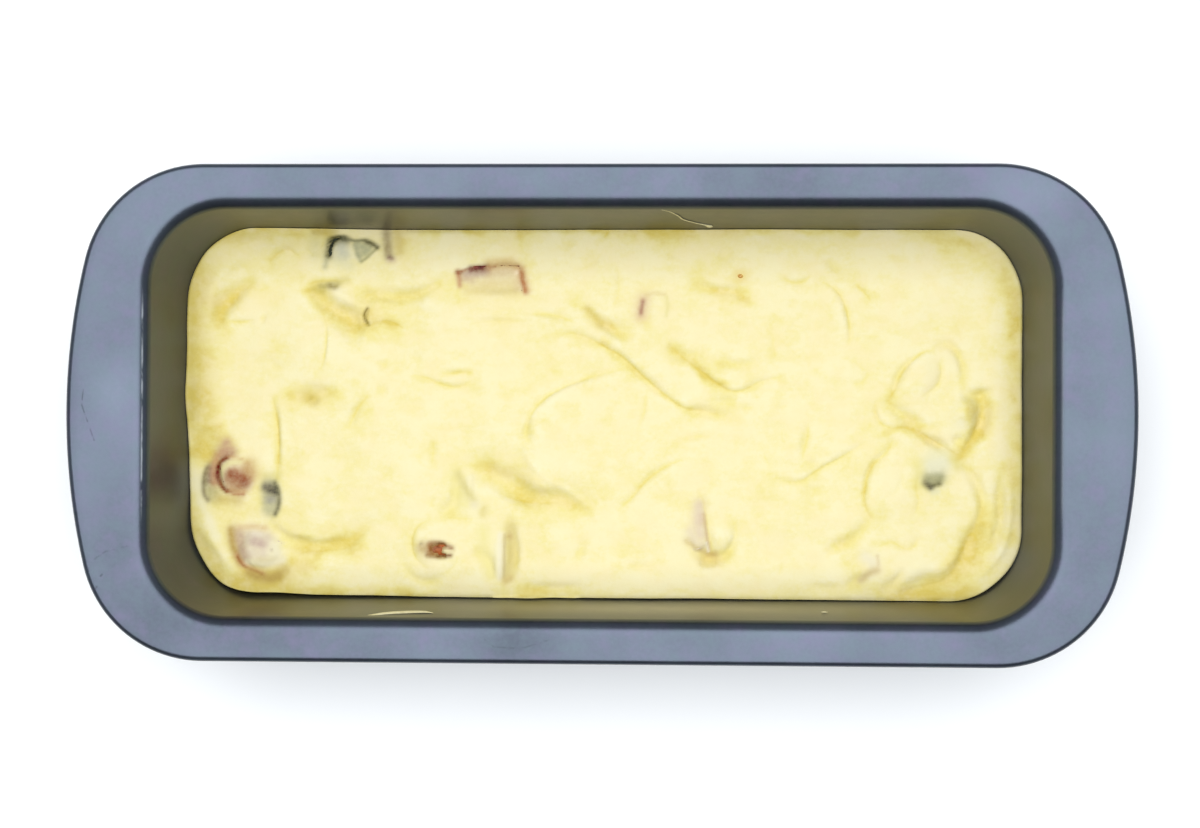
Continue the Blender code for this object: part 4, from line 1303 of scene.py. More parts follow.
BATTER_STAINS_SHADES_AND_HIGHLIGHTS = (
    # painted shade by the left wall, in a dent and along a dark crease
    Stain(((-121.8, 40), (-121.4, 20), (-121.4, 0)), 4.0, (206, 192, 118), 0.5),
    Stain(((-86.2, 4.9), (-84.6, 4.4)), 1.9, (220, 201, 114), 0.85),
    Stain(((-85.3, 4.5),), 0.55, (188, 168, 84), 0.85),
    Stain(((-4.6, 30.8), (-2.6, 28.6), (-0.4, 26.2)), 0.9, (214, 194, 106), 0.75),
    # green piece with two lobes: the fruit through the film, a painted shadow below its left end and painted
    # shade between it and the back wall
    Stain(((-76.4, 48.6), (-76.0, 46.8)), 2.4, (208, 207, 180), 0.92, 3),
    Stain(((-78.0, 44.6), (-74.0, 43.4)), 1.8, (228, 224, 182), 0.6),
    Stain(((-71.6, 49.0), (-68.6, 48.2)), 1.3, (184, 184, 142), 0.95, 3),
    Stain(((-71.0, 46.6), (-69.6, 47.0)), 1.5, (182, 182, 138), 0.9, 3),
    Stain(((-72.6, 49.2), (-71.7, 46.4), (-71.0, 44.6)), 0.6, (168, 168, 136), 0.7),
    Stain(((-71.4, 48.6), (-69.0, 47.6)), 1.2, (190, 188, 148), 0.6),
    Stain(((-66.2, 48.2), (-68.4, 46.0), (-70.6, 44.3)), 0.5, (158, 156, 108), 0.75),
    Stain(((-75.6, 51.2), (-72.6, 50.4), (-70.0, 50.5), (-68.4, 49.9)), 0.55, (112, 114, 86), 0.85),
    Stain(((-69.0, 50.2), (-67.2, 49.4), (-65.9, 48.5)), 0.8, (84, 82, 44), 0.96),
    Stain(((-79.2, 50.4), (-76.6, 50.7), (-74.8, 50.5)), 1.1, (104, 104, 78), 0.9),
    Stain(((-84.0, 46.6), (-84.0, 49.0)), 2.2, (216, 211, 158), 0.5),
    Stain(((-80.2, 46.2), (-79.9, 48.4), (-79.2, 50.2)), 1.3, (84, 86, 68), 0.95),
    Stain(((-79.2, 50.2), (-77.6, 51.2), (-75.4, 51.2)), 0.8, (84, 86, 68), 0.92, 3),
    Stain(((-80.8, 45.0), (-81.2, 42.8)), 0.9, (182, 180, 142), 0.7),
    Stain(((-84.0, 52.8), (-78.0, 53.0)), 1.2, (196, 178, 108), 0.6),
    # purple streak, with painted shade to its right
    Stain(((-63.2, 54.0), (-62.9, 50.0), (-62.5, 46.2)), 1.6, (172, 156, 114), 0.9, 2.4),
    Stain(((-62.3, 45.5), (-61.7, 45.2)), 0.75, (104, 66, 62), 0.95),
    Stain(((-62.6, 44.6), (-61.0, 44.6)), 0.9, (222, 200, 168), 0.5),
    Stain(((-60.0, 52.6), (-59.4, 47.4)), 1.6, (216, 196, 124), 0.7),
    # small green spot
    Stain(((-82.6, 37.1), (-77.6, 37.6)), 1.1, (188, 175, 108), 0.85),
    Stain(((-79.8, 37.3), (-78.4, 36.8)), 0.85, (150, 136, 84), 0.8),
    Stain(((-84.6, 36.4), (-82.0, 35.4)), 0.9, (206, 190, 104), 0.7),
    Stain(((-78.0, 38.4), (-75.0, 39.0)), 1.2, (214, 202, 136), 0.5),
    # crack: painted shade in the crack and along the crease beside it
    Stain(((-68.8, 30.8), (-69.8, 29.0), (-69.6, 27.4), (-68.3, 26.0)), 0.42, (124, 108, 42), 0.85),
    Stain(((-68.4, 26.0), (-66.0, 26.6), (-62.0, 26.8)), 0.5, (216, 200, 118), 0.35),
    # red slab, with a painted highlight at its right end
    Stain(((-39.8, 40.6), (-34.4, 40.8)), 1.4, (197, 174, 154), 0.92, 3),
    Stain(((-41.4, 39.6), (-38.0, 38.6)), 1.3, (206, 180, 150), 0.7),
    Stain(((-32.6, 40.8), (-27.0, 41.2)), 1.7, (218, 197, 156), 0.85, 3),
    Stain(((-35.0, 37.8), (-26.0, 38.2)), 2.2, (226, 207, 152), 0.8),
    Stain(((-39.4, 36.2), (-25.6, 35.6)), 1.8, (230, 213, 146), 0.75),
    Stain(((-25.2, 36.6), (-25.0, 39.6)), 1.0, (224, 200, 150), 0.6),
    Stain(((-42.3, 41.2), (-42.0, 39.4), (-41.7, 37.4)), 0.8, (196, 144, 106), 0.85),
    Stain(((-42.5, 41.4), (-41.5, 41.2)), 0.7, (140, 78, 52), 0.85),
    Stain(((-38.0, 41.4), (-33.4, 41.6)), 0.9, (186, 158, 136), 0.7),
    Stain(((-34.0, 44.4), (-27.0, 44.8)), 1.2, (226, 204, 134), 0.6),
    Stain(((-42.0, 41.4), (-40.2, 41.9), (-38.8, 42.2)), 0.4, (160, 100, 70), 0.85),
    Stain(((-38.4, 42.2), (-35.8, 42.5), (-33.8, 42.7)), 1.05, (122, 62, 38), 0.97, 2.5),
    Stain(((-32.6, 43.0), (-29.0, 43.4), (-26.0, 43.2), (-24.2, 42.0)), 1.5, (212, 178, 122), 0.88),
    Stain(((-33.4, 42.6), (-31.4, 42.8)), 0.5, (176, 122, 84), 0.7),
    Stain(((-24.2, 42.0), (-23.2, 39.4), (-22.3, 36.0)), 1.3, (210, 170, 124), 0.85),
    Stain(((-23.8, 41.0), (-23.4, 38.4), (-22.6, 35.6)), 0.7, (182, 116, 74), 0.88),
    Stain(((-25.2, 41.2),), 0.7, (246, 228, 194), 0.8),
    # round piece with a purple slit
    Stain(((11.8, 33.4), (11.3, 31.0), (11.0, 28.8)), 2.0, (226, 196, 158), 0.75),
    Stain(((11.6, 33.0), (11.2, 31.2), (11.0, 29.4)), 0.75, (176, 132, 110), 0.9),
    Stain(((12.6, 34.8), (15.0, 35.3), (17.8, 34.9)), 0.6, (226, 206, 148), 0.6),
    Stain(((18.4, 34.2), (18.8, 31.6), (18.4, 28.8)), 0.6, (230, 220, 150), 0.6),
    # orange speck's haze
    Stain(((39.7, 40.3),), 1.9, (238, 214, 138), 0.85),
    # dark green piece beside the cherry
    Stain(((-98.4, -18.4), (-95.0, -18.2)), 1.6, (218, 207, 132), 0.6),
    Stain(((-97.2, -21.4), (-97.0, -24.0), (-96.9, -27.6)), 2.6, (190, 187, 148), 0.92, 3),
    Stain(((-97.4, -25.0), (-96.0, -25.2)), 1.4, (170, 166, 150), 0.8),
    Stain(((-98.0, -21.6), (-96.2, -22.0)), 1.6, (98, 92, 84), 0.9, 2.2),
    Stain(((-96.8, -22.2), (-95.4, -23.2)), 1.0, (74, 70, 64), 0.85),
    Stain(((-95.6, -20.2), (-94.6, -22.4), (-94.2, -25.0), (-94.6, -27.6), (-95.4, -29.4)),
          0.75, (96, 94, 74), 0.85),
    # violet piece by the wall, with a painted highlight along the pale ridge beside it
    Stain(((-114.6, -20.6), (-113.8, -23.6)), 2.5, (188, 181, 126), 0.88, 2.6),
    Stain(((-114.6, -16.0), (-115.0, -19.4)), 1.5, (134, 122, 104), 0.92),
    Stain(((-115.6, -16.2), (-116.5, -18.6), (-116.8, -21.4), (-116.5, -23.8), (-115.4, -25.4)),
          0.8, (146, 134, 100), 0.88),
    Stain(((-118.6, -19.0), (-118.0, -24.4), (-115.4, -30.0), (-112.6, -36.0)), 1.3,
          (247, 241, 204), 0.6),
    # cherry
    Stain(((-112.0, -24.8), (-106.6, -25.4)), 1.9, (208, 188, 118), 0.7),
    Stain(((-102.6, -14.6), (-101.8, -17.6)), 2.0, (220, 196, 134), 0.7),
    Stain(((-110.0, -8.6),), 1.8, (204, 170, 134), 0.92),
    Stain(((-110.6, -11.2), (-108.8, -11.4)), 2.3, (196, 158, 128), 0.96, 2.6),
    Stain(((-112.6, -12.6), (-113.5, -16.6), (-113.2, -20.0)), 1.6, (194, 142, 108), 0.8),
    Stain(((-107.4, -19.2), (-106.0, -19.6)), 3.9, (188, 144, 108), 0.96, 3.4),
    Stain(((-103.8, -15.4), (-103.0, -17.6)), 1.8, (204, 170, 120), 0.9),
    Stain(((-108.6, -22.4), (-105.0, -23.0)), 1.0, (206, 166, 118), 0.75),
    Stain(((-108.0, -17.7), (-105.8, -18.6), (-104.2, -19.8)), 1.7, (152, 84, 58), 0.93),
    Stain(((-107.6, -18.0),), 0.8, (146, 78, 48), 0.7),
    Stain(((-104.6, -20.4),), 0.9, (154, 94, 72), 0.8),
    Stain(((-111.4, -18.4), (-111.2, -16.6), (-109.6, -15.0), (-107.6, -14.3), (-105.9, -14.0)),
          0.85, (232, 221, 164), 0.97, 3),
    Stain(((-109.4, -12.9), (-111.0, -13.8), (-112.2, -15.4), (-112.5, -17.4), (-112.2, -19.4),
           (-111.4, -21.2), (-109.8, -22.6)), 0.8, (134, 66, 42), 0.97, 2.6),
    Stain(((-112.2, -15.6), (-112.5, -17.6), (-112.1, -19.4)), 0.8, (118, 46, 28), 0.8),
    Stain(((-109.8, -22.6), (-107.4, -23.6), (-104.8, -23.8)), 0.5, (176, 120, 82), 0.75),
    Stain(((-109.4, -12.8), (-107.0, -12.8), (-105.0, -13.4)), 0.4, (206, 168, 120), 0.6),
    # pink lump, with painted shadow round its left and lower edges and painted highlights on its top and
    # right side
    Stain(((-107.4, -34.6), (-106.6, -38.8), (-104.8, -42.8)), 2.0, (202, 176, 132), 0.88),
    Stain(((-102.6, -36.4), (-98.4, -36.8)), 3.0, (225, 211, 186), 0.92, 3),
    Stain(((-103.2, -41.0), (-99.0, -41.0)), 2.2, (228, 214, 190), 0.85),
    Stain(((-101.4, -37.4), (-98.8, -38.2)), 1.5, (198, 172, 158), 0.8),
    Stain(((-101.6, -35.0), (-99.6, -35.4)), 0.7, (238, 228, 208), 0.6),
    Stain(((-95.4, -38.6), (-94.6, -41.4)), 1.8, (242, 235, 204), 0.8),
    Stain(((-106.0, -33.4), (-102.0, -33.0), (-98.4, -33.4)), 0.9, (222, 194, 146), 0.75),
    Stain(((-99.0, -43.6), (-94.0, -43.4)), 1.8, (226, 210, 160), 0.75),
    Stain(((-101.0, -47.4), (-96.0, -47.2), (-92.6, -45.4)), 1.9, (204, 182, 112), 0.7),
    Stain(((-105.8, -35.4), (-105.4, -38.6), (-104.0, -42.0)), 1.5, (200, 174, 148), 0.85),
    Stain(((-108.6, -34.0), (-108.1, -37.6), (-107.1, -41.0), (-105.7, -43.4)), 1.1,
          (190, 161, 92), 0.88),
    Stain(((-106.6, -41.4), (-105.4, -43.4), (-103.4, -44.9), (-101.2, -45.9), (-99.0, -46.9)),
          0.9, (200, 152, 112), 0.8),
    Stain(((-106.5, -42.0), (-105.2, -43.9), (-103.3, -45.2), (-101.2, -46.1), (-99.2, -47.0)),
          0.42, (158, 104, 62), 0.85),
    Stain(((-103.0, -46.4), (-99.8, -47.6), (-97.0, -48.2), (-94.4, -47.6)), 1.5,
          (190, 162, 92), 0.85),
    Stain(((-103.4, -43.2), (-98.0, -43.8), (-93.0, -42.6)), 1.0, (238, 230, 194), 0.8),
    Stain(((-96.3, -39.9),), 0.45, (186, 172, 150), 0.7),
    # red-brown piece
    Stain(((-52.0, -38.8), (-50.0, -39.6)), 2.0, (194, 168, 120), 0.85, 2.4),
    Stain(((-52.6, -37.6),), 0.5, (160, 146, 118), 0.6),
    Stain(((-50.2, -37.6), (-48.6, -37.4), (-46.2, -37.8)), 0.8, (156, 112, 74), 0.85),
    Stain(((-50.8, -41.0), (-48.0, -41.4), (-45.6, -41.2)), 0.7, (146, 106, 56), 0.85),
    Stain(((-49.4, -39.3), (-47.6, -39.4)), 1.5, (156, 94, 56), 0.92, 2.4),
    Stain(((-47.2, -37.9), (-45.2, -38.4), (-43.8, -39.0)), 0.85, (140, 84, 54), 0.9),
    Stain(((-47.4, -41.1), (-45.2, -41.1), (-44.0, -41.0)), 0.7, (122, 74, 40), 0.9),
    Stain(((-45.9, -39.7), (-43.4, -39.9)), 0.55, (240, 228, 180), 0.95),
    # pale slab, with painted shadow along its right side
    Stain(((-34.6, -34.0), (-34.0, -40.0), (-32.2, -46.6)), 2.4, (241, 231, 160), 0.75),
    Stain(((-29.7, -35.0), (-29.7, -47.4)), 0.9, (244, 237, 206), 0.85),
    Stain(((-28.3, -35.0), (-28.4, -47.4)), 0.45, (208, 192, 150), 0.85),
    Stain(((-26.7, -33.0), (-26.3, -41.0), (-27.2, -47.2)), 1.7, (223, 208, 143), 0.9),
    Stain(((-26.8, -35.4),), 1.0, (206, 182, 124), 0.8),
    Stain(((-28.2, -48.4), (-26.8, -47.6)), 1.1, (216, 194, 128), 0.8),
    # grey-green piece
    Stain(((-43.0, -19.0), (-41.4, -23.0), (-40.0, -26.0)), 2.2, (240, 230, 160), 0.6),
    Stain(((-42.0, -17.4), (-40.5, -20.2), (-38.8, -23.0), (-37.4, -25.2)), 1.3, (224, 213, 148), 0.85),
    Stain(((-37.2, -26.4),), 1.3, (240, 231, 194), 0.85),
    Stain(((-34.4, -27.6), (-34.8, -28.8)), 1.3, (230, 216, 148), 0.85),
    # lilac wedge, with painted shadow below its tip
    Stain(((28.0, -26.0), (27.8, -31.0), (28.4, -34.6)), 1.9, (228, 210, 184), 0.88),
    Stain(((28.6, -28.6), (28.8, -31.4)), 0.8, (216, 192, 168), 0.6),
    Stain(((25.6, -33.6), (26.6, -36.4), (28.8, -37.6)), 1.6, (236, 222, 190), 0.8),
    Stain(((29.4, -28.4), (29.8, -31.6), (30.4, -35.4), (31.0, -38.6)), 0.5, (212, 186, 144), 0.85),
    Stain(((24.4, -36.4), (27.6, -38.6), (30.4, -40.0)), 0.8, (218, 198, 142), 0.8),
    Stain(((29.6, -42.0), (33.2, -42.0)), 2.0, (226, 204, 134), 0.55),
    Stain(((31.0, -40.4), (32.8, -40.2)), 0.9, (206, 180, 126), 0.7),
    Stain(((30.2, -37.0), (30.8, -39.4)), 0.4, (246, 238, 214), 0.9),
    # sunk green piece
    Stain(((94.2, -18.0), (97.0, -17.4)), 2.3, (196, 194, 154), 0.92),
    Stain(((94.4, -19.2), (96.6, -19.2)), 0.9, (158, 156, 118), 0.8),
    Stain(((94.6, -14.0), (98.4, -13.2)), 2.9, (231, 229, 199), 0.88),
    Stain(((95.6, -10.8), (98.6, -10.6)), 2.0, (236, 232, 190), 0.6),
    Stain(((93.4, -17.8), (97.4, -17.8)), 1.5, (166, 164, 122), 0.8),
    Stain(((95.0, -20.2), (97.4, -19.4)), 0.8, (118, 114, 78), 0.88),
    Stain(((92.9, -19.2), (93.8, -20.0), (94.8, -20.7)), 0.95, (62, 58, 34), 0.97),
    Stain(((91.4, -15.0), (91.6, -20.0)), 1.6, (234, 224, 152), 0.5),
    Stain(((101.0, -12.6), (102.6, -14.6)), 1.5, (222, 210, 128), 0.55),
    Stain(((95.4, -22.0), (96.6, -21.8)), 0.9, (230, 227, 190), 0.7),
    # pale pink piece, with painted shade along its lower edge
    Stain(((76.0, -40.8), (78.0, -42.2)), 2.2, (241, 233, 202), 0.85),
    Stain(((74.8, -47.4), (77.0, -45.6), (79.4, -44.4)), 1.2, (214, 195, 146), 0.85),
    Stain(((79.5, -40.2), (79.9, -43.0)), 0.5, (224, 206, 164), 0.8),
)


def paint_stains(obj, stains):
    """Lay the stains on a piece's points as a colour and how much of it shows."""
    count = len(obj.data.vertices)
    flat = np.zeros(count * 3)
    obj.data.vertices.foreach_get("co", flat)
    places = flat.reshape(-1, 3)[:, :2] / MM
    colour = np.ones((count, 4))
    share = np.zeros(count)
    if stains:
        colour[:, :3] = seen(*stains[0].colour)
    for stain in stains:
        mask = stain.share * stroke_mask(stain.path, stain.width, places, stain.crisp)
        total = mask + share * (1 - mask)
        part = np.divide(mask, total, out=np.zeros(count), where=total > 1e-6)[:, None]
        colour[:, :3] = colour[:, :3] * (1 - part) + np.array(seen(*stain.colour)) * part
        share = total
    tint = obj.data.attributes.new("stain", "FLOAT_COLOR", "POINT")
    tint.data.foreach_set("color", colour.ravel())
    amount = obj.data.attributes.new("stain_share", "FLOAT", "POINT")
    amount.data.foreach_set("value", share)


# ---------------------------------------------------------------- the batter
def cavity(tin, gap, height):
    """Half-length, half-width and corner of the space in the tin at heights in metres."""
    wall_top = tin.height - tin.lip_radius
    wall_foot = tin.sheet + tin.base_radius * (1 - math.sin(tin.wall_draft))
    share = np.clip((wall_top - height) / (wall_top - wall_foot), 0, 1)
    turned = np.arcsin(np.clip(1 - (height - tin.sheet - gap) / tin.base_radius, 0, 1))
    inwards = tin.base_radius * (math.cos(tin.wall_draft) - np.cos(turned))
    under = np.where(height < wall_foot, np.maximum(inwards, 0), 0) + gap
    sizes = [OPENING[i] + (BASE[i] - OPENING[i]) * share - under for i in range(3)]
    return sizes


def fitted(tin, gap, across, along, height):
    """Where grid points lie when the grid is fitted to the tin at their heights.

    across and along run from -1 to 1.  The first and last fifth of along is the tin's corners,
    where rows follow the corner's angle; between them rows are evenly spaced.
    """
    half_length, half_width, corner = cavity(tin, gap, height)
    straight = half_width - corner
    side = np.abs(along)
    turn = np.clip((side - CORNER_SHARE) / (1 - CORNER_SHARE), 0, 1) * math.pi / 2
    reach = half_length - corner * (1 - np.cos(turn))
    y = np.where(side <= CORNER_SHARE, side / CORNER_SHARE * straight,
                 straight + corner * np.sin(turn))
    return across * reach, np.copysign(y, along)


CORNER_SHARE = 0.5
DENSE_COLUMNS = ((-120, -92), (-84, -58), (-55, -22), (8, 20), (23, 42), (74, 104))


def edge_distance(places):
    """How far places in millimetres are inside the outline that the batter fills."""
    outline = np.array((121.5, 53.6))
    corner = 20.9
    beyond = np.abs(places) - (outline - corner)
    outside = np.linalg.norm(np.maximum(beyond, 0), axis=1)
    return corner - outside - np.minimum(beyond.max(axis=1), 0)


def soften(field, cells):
    """The field blurred by a bell curve of that many cells."""
    reach = int(3 * cells) + 1
    steps = np.arange(-reach, reach + 1)
    bell = np.exp(-0.5 * (steps / cells) ** 2)
    bell /= bell.sum()
    padded = np.pad(field, reach, mode="edge")
    padded = np.apply_along_axis(np.convolve, 0, padded, bell, "valid")
    return np.apply_along_axis(np.convolve, 1, padded, bell, "valid")


def sample(field, low, spacing, places):
    """Values of a field of evenly spaced points at places between them."""
    at = (places - low) / spacing
    at[:, 0] = np.clip(at[:, 0], 0, field.shape[1] - 1.001)
    at[:, 1] = np.clip(at[:, 1], 0, field.shape[0] - 1.001)
    cell = at.astype(int)
    part = at - cell
    column, row = cell.T
    near = field[row, column] * (1 - part[:, 0]) + field[row, column + 1] * part[:, 0]
    far = field[row + 1, column] * (1 - part[:, 0]) + field[row + 1, column + 1] * part[:, 0]
    return near * (1 - part[:, 1]) + far * part[:, 1]


FILM = 0.30
DRAPE_SPACING = 0.25


def drape(window, level):
    """How the batter's height changes over and round one piece of fruit, as a small field."""
    obj = bpy.data.objects[window.name + "_piece"]
    tree = BVHTree.FromObject(obj, bpy.context.evaluated_depsgraph_get())
    corners = np.array([point.co[:2] for point in obj.data.vertices]) / MM
    low = corners.min(0) - 4
    high = corners.max(0) + 4
    columns = int((high[0] - low[0]) / DRAPE_SPACING) + 1
    rows = int((high[1] - low[1]) / DRAPE_SPACING) + 1
    xs, ys = np.meshgrid(low[0] + np.arange(columns) * DRAPE_SPACING,
                         low[1] + np.arange(rows) * DRAPE_SPACING)
    places = np.column_stack([xs.ravel(), ys.ravel()])
    bare = relief(places)
    top = np.full(len(places), -30.0)
    for number, (x, y) in enumerate(places):
        hit = tree.ray_cast(Vector((x * MM, y * MM, 0.08)), Vector((0, 0, -1)))
        if hit[0] is not None:
            top[number] = (hit[0].z - level) / MM
    covered = np.maximum(bare, top + FILM).reshape(rows, columns)
    covered = soften(covered, 0.55 / DRAPE_SPACING).ravel()
    covered = np.maximum(covered, top + 0.14)
    shows = np.zeros(len(places))
    for path, width in window.bare:
        shows = np.maximum(shows, stroke_mask(path, width * 1.25, places, 4))
    for path, width in window.covered:
        shows *= 1 - stroke_mask(path, width * 1.25, places, 4)
    cleared = np.where(top > -20, np.minimum(covered, top - 0.45), covered)
    change = covered + (cleared - covered) * shows - bare
    return change.reshape(rows, columns), low


def batter_finish(batter):
    """Fresh batter: cream with painted highlights on the crests, painted shade in the valleys and creases,
    fruit stains with painted shadows and highlights beside them, and tiny bubbles.
    """
    finish = Finish("batter")
    gold = finish.attribute("gold")
    crest = finish.attribute("crest")
    across = finish.attribute("crease_across")
    share = finish.attribute("crease_share")
    cloudy = finish.noise(9 * MM, 4.0, 0.6)
    streaky = finish.noise(3.2 * MM, 3.0, 0.6, (0.55, 1.0, 1.0))
    fine = finish.noise(1.3 * MM, 3.0, 0.6)
    bubble = finish.noise(0.45 * MM, 2.0, 0.5)
    # painted shade: a dark line along each crisp crease and a softer shade to one side of it
    line = (across * across * -7.0).math("EXPONENT") * share
    shade = (across.math("ABSOLUTE") * -1.1).math("EXPONENT") * share
    mottle = (cloudy - 0.5) * 0.95 + (streaky - 0.5) * 0.90 + (fine - 0.5) * 0.60
    swirl = ((finish.noise(16 * MM, 3.0, 0.55) - 0.5) * 26).math("ABSOLUTE")
    wisp = (swirl * -1.0).math("EXPONENT") * cloudy.rise(0.42, 0.62)
    # painted shade from the hollows, creases and tints, with random mottle and wisps, drives the ramp from
    # cream through lemon to golden
    painted_shade_and_mottle = gold * (1.0 + (streaky - 0.5) * 0.4) + mottle * 0.6 + wisp * 0.18 + line * 0.42 + shade * 0.16
    # painted highlight: the crest attribute lightens the raised crests towards the crest colour
    colour = finish.mix((crest + mottle * -0.8).clamp(), batter.cream, batter.crest)
    colour = finish.mix((painted_shade_and_mottle * 2.2).clamp(), colour, batter.lemon)
    colour = finish.mix((painted_shade_and_mottle * 1.8 - 0.8).clamp(), colour, batter.golden)
    rosy = finish.noise(7 * MM, 3.0, 0.6).rise(0.42, 0.68) * 0.5
    colour = finish.mix(rosy, colour, batter.rosy)
    # stains: fruit seen through the batter's film, and painted shadows and highlights beside the pieces
    stained = finish.attribute("stain_share") * (0.94 + (fine - 0.5) * 0.5)
    colour = finish.mix(stained.clamp(), colour, finish.attribute("stain", "Color"))
    rough = batter.roughness + (fine - 0.5) * 0.12
    skin = fine * 0.7 + bubble * 0.2 + streaky * 0.6 - line * 0.7
    return finish.surface(
        Base_Color=colour, Roughness=rough, IOR=1.4, Specular_IOR_Level=0.15,
        Normal=finish.bump(skin, 0.42, 0.25 * MM))


def spread(count, dense_zones, half, extra=0.7):
    """Positions from -1 to 1, closer together inside the zones given in millimetres."""
    fine = np.linspace(-half, half, 4001)
    density = np.ones(len(fine))
    for low, high in dense_zones:
        density += extra * 0.5 * (np.tanh((fine - low) / 2) - np.tanh((fine - high) / 2))
    total = np.concatenate([[0], np.cumsum((density[1:] + density[:-1]) / 2)])
    return np.interp(np.linspace(0, total[-1], count), total, fine) / half


class LOAF_OT_add_batter(bpy.types.Operator):
    """Add the batter with its folds, draped over the fruit and filling the tin"""

    bl_idname = "loaf.add_batter"
    bl_label = "Batter"

    def execute(self, context):
        settings = context.scene.fruit_loaf
        tin, batter = settings.tin, settings.batter
        deselect_first()
        bpy.ops.mesh.primitive_grid_add(
            x_subdivisions=batter.columns, y_subdivisions=batter.rows, size=2)
        obj = start_piece("batter_poured")
        count = len(obj.data.vertices)
        flat = np.zeros(count * 3)
        obj.data.vertices.foreach_get("co", flat)
        grid = flat.reshape(-1, 3)
        column = np.rint((grid[:, 0] + 1) / 2 * batter.columns).astype(int)
        across = spread(batter.columns + 1, DENSE_COLUMNS, 121.5)[column]
        along = grid[:, 1]
        level = np.full(count, batter.level)
        x, y = fitted(tin, batter.gap, across, along, level)
        places = pushed(np.column_stack([x, y]) / MM)
        height = relief(places)
        for window in WINDOWS + tuple(Window(name, ()) for name in unwindowed()):
            change, low = drape(window, batter.level)
            high = low + (np.array(change.shape[::-1]) - 1) * DRAPE_SPACING
            near = np.all((places > low) & (places < high), axis=1)
            height[near] += sample(change, low, DRAPE_SPACING, places[near])
        z = batter.level + height * MM
        x, y = fitted(tin, batter.gap, across, along, z)
        x, y = (pushed(np.column_stack([x, y]) / MM) * MM).T
        obj.data.vertices.foreach_set("co", np.column_stack([x, y, z]).ravel())
        obj.data.update()
        self.carry_down(obj, tin, batter, across, along, z)
        paint_shades(obj, height, places)
        paint_stains(obj, BATTER_STAINS_SHADES_AND_HIGHLIGHTS)
        finish_piece(obj, batter_finish(batter), ["batter"], smooth=180)
        return {"FINISHED"}

    def carry_down(self, obj, tin, batter, across, along, z):
        """Extrude the top's edge down the walls and close the bottom."""
        choose(obj)
        bpy.ops.object.mode_set(mode="EDIT")
        bpy.ops.mesh.select_mode(type="EDGE")
        bpy.ops.mesh.select_all(action="DESELECT")
        bpy.ops.mesh.select_non_manifold()
        body = bmesh.from_edit_mesh(obj.data)
        ring = ring_order(body)
        ring_across, ring_along, ring_z = across[ring], along[ring], z[ring]
        floor = tin.sheet + batter.gap
        for share in (0.6, 0.35, 0.16, 0.08, 0.035, 0.01, 0.0):
            lower = floor + (ring_z - floor) * share
            x, y = fitted(tin, batter.gap, ring_across, ring_along, lower)
            ring = extrude_ring(obj, ring, np.column_stack([x, y, lower]))
        bpy.ops.mesh.edge_face_add()
        bpy.ops.mesh.select_mode(type="VERT")
        bpy.ops.mesh.select_all(action="SELECT")
        bpy.ops.mesh.normals_make_consistent(inside=False)
        bpy.ops.object.mode_set(mode="OBJECT")


def unwindowed():
    """Names of the lumps that the batter covers wholly."""
    shown = {window.name for window in WINDOWS}
    return [lump.name for lump in LUMPS if lump.name not in shown]


def ring_order(body):
    """Point numbers of the selected closed ring, in order."""
    body.verts.ensure_lookup_table()
    start = next(edge for edge in body.edges if edge.select).verts[0]
    ring = [start]
    before, here = None, start
    while True:
        step = [e.other_vert(here) for e in here.link_edges if e.select]
        following = step[0] if step[0] is not before else step[1]
        if following is start:
            return [point.index for point in ring]
        ring.append(following)
        before, here = here, following


def paint_shades(obj, height, places):
    """Paint the batter's painted shade and light at each point: how golden (painted shade), crested (painted
    highlight) and creased it is.
    """
    spacing = 0.6
    low = np.array((-124.0, -57.0))
    columns, rows = int(248 / spacing), int(114 / spacing)
    xs, ys = np.meshgrid(low[0] + np.arange(columns) * spacing,
                         low[1] + np.arange(rows) * spacing)
    field = relief(np.column_stack([xs.ravel(), ys.ravel()])).reshape(rows, columns)
    # painted shade: the deeper a point lies below its surroundings, the more golden it is
    hollow = np.zeros(len(places))
    for width, weight in ((1.3, 0.5), (3.2, 0.4), (8.0, 0.2)):
        around = soften(field, width / spacing)
        hollow += weight * (sample(around, low, spacing, places) - height)
    gold = np.clip(hollow * 0.40 + 0.05, 0, 0.5)
    moved = swayed(places, 0.8, 9)
    uneven = 1 + 0.09 * ripple(places, 7, 31)
    for tint in TINTS:
        mask = tint.gold * stroke_mask(tint.path, tint.width, moved)
        gold = gold + mask * uneven * (1 - 0.6 * gold)
    # painted shade: a little more gold along the batter's edge at the walls
    gold += 0.06 * np.exp(-np.maximum(edge_distance(places), 0) / 1.6)
    inland = np.clip(edge_distance(places) / 5.0, 0, 1)
    # painted highlight: points higher than their surroundings, and points under tints below 0, get paler
    # crests, which fade out near the walls
    crest = np.clip(0.35 - hollow * 1.2 - np.minimum(gold, 0) * 3, 0, 1) * inland
    across, share = creases(places)
    shades = (("gold", np.clip(gold, 0, 1), 0.4), ("crest", crest, 0.2),
              ("crease_across", across, 9.0), ("crease_share", share, 0.0))
    for name, values, rest in shades:
        layer = obj.data.attributes.new(name, "FLOAT", "POINT")
        full = np.full(len(obj.data.vertices), rest)
        full[:len(values)] = values
        layer.data.foreach_set("value", full)


# ---------------------------------------------------------------- smears and specks
# Strands of batter on the walls: points in millimetres and the strand's radius at each.
Strand = namedtuple("Strand", "name points radii flat")

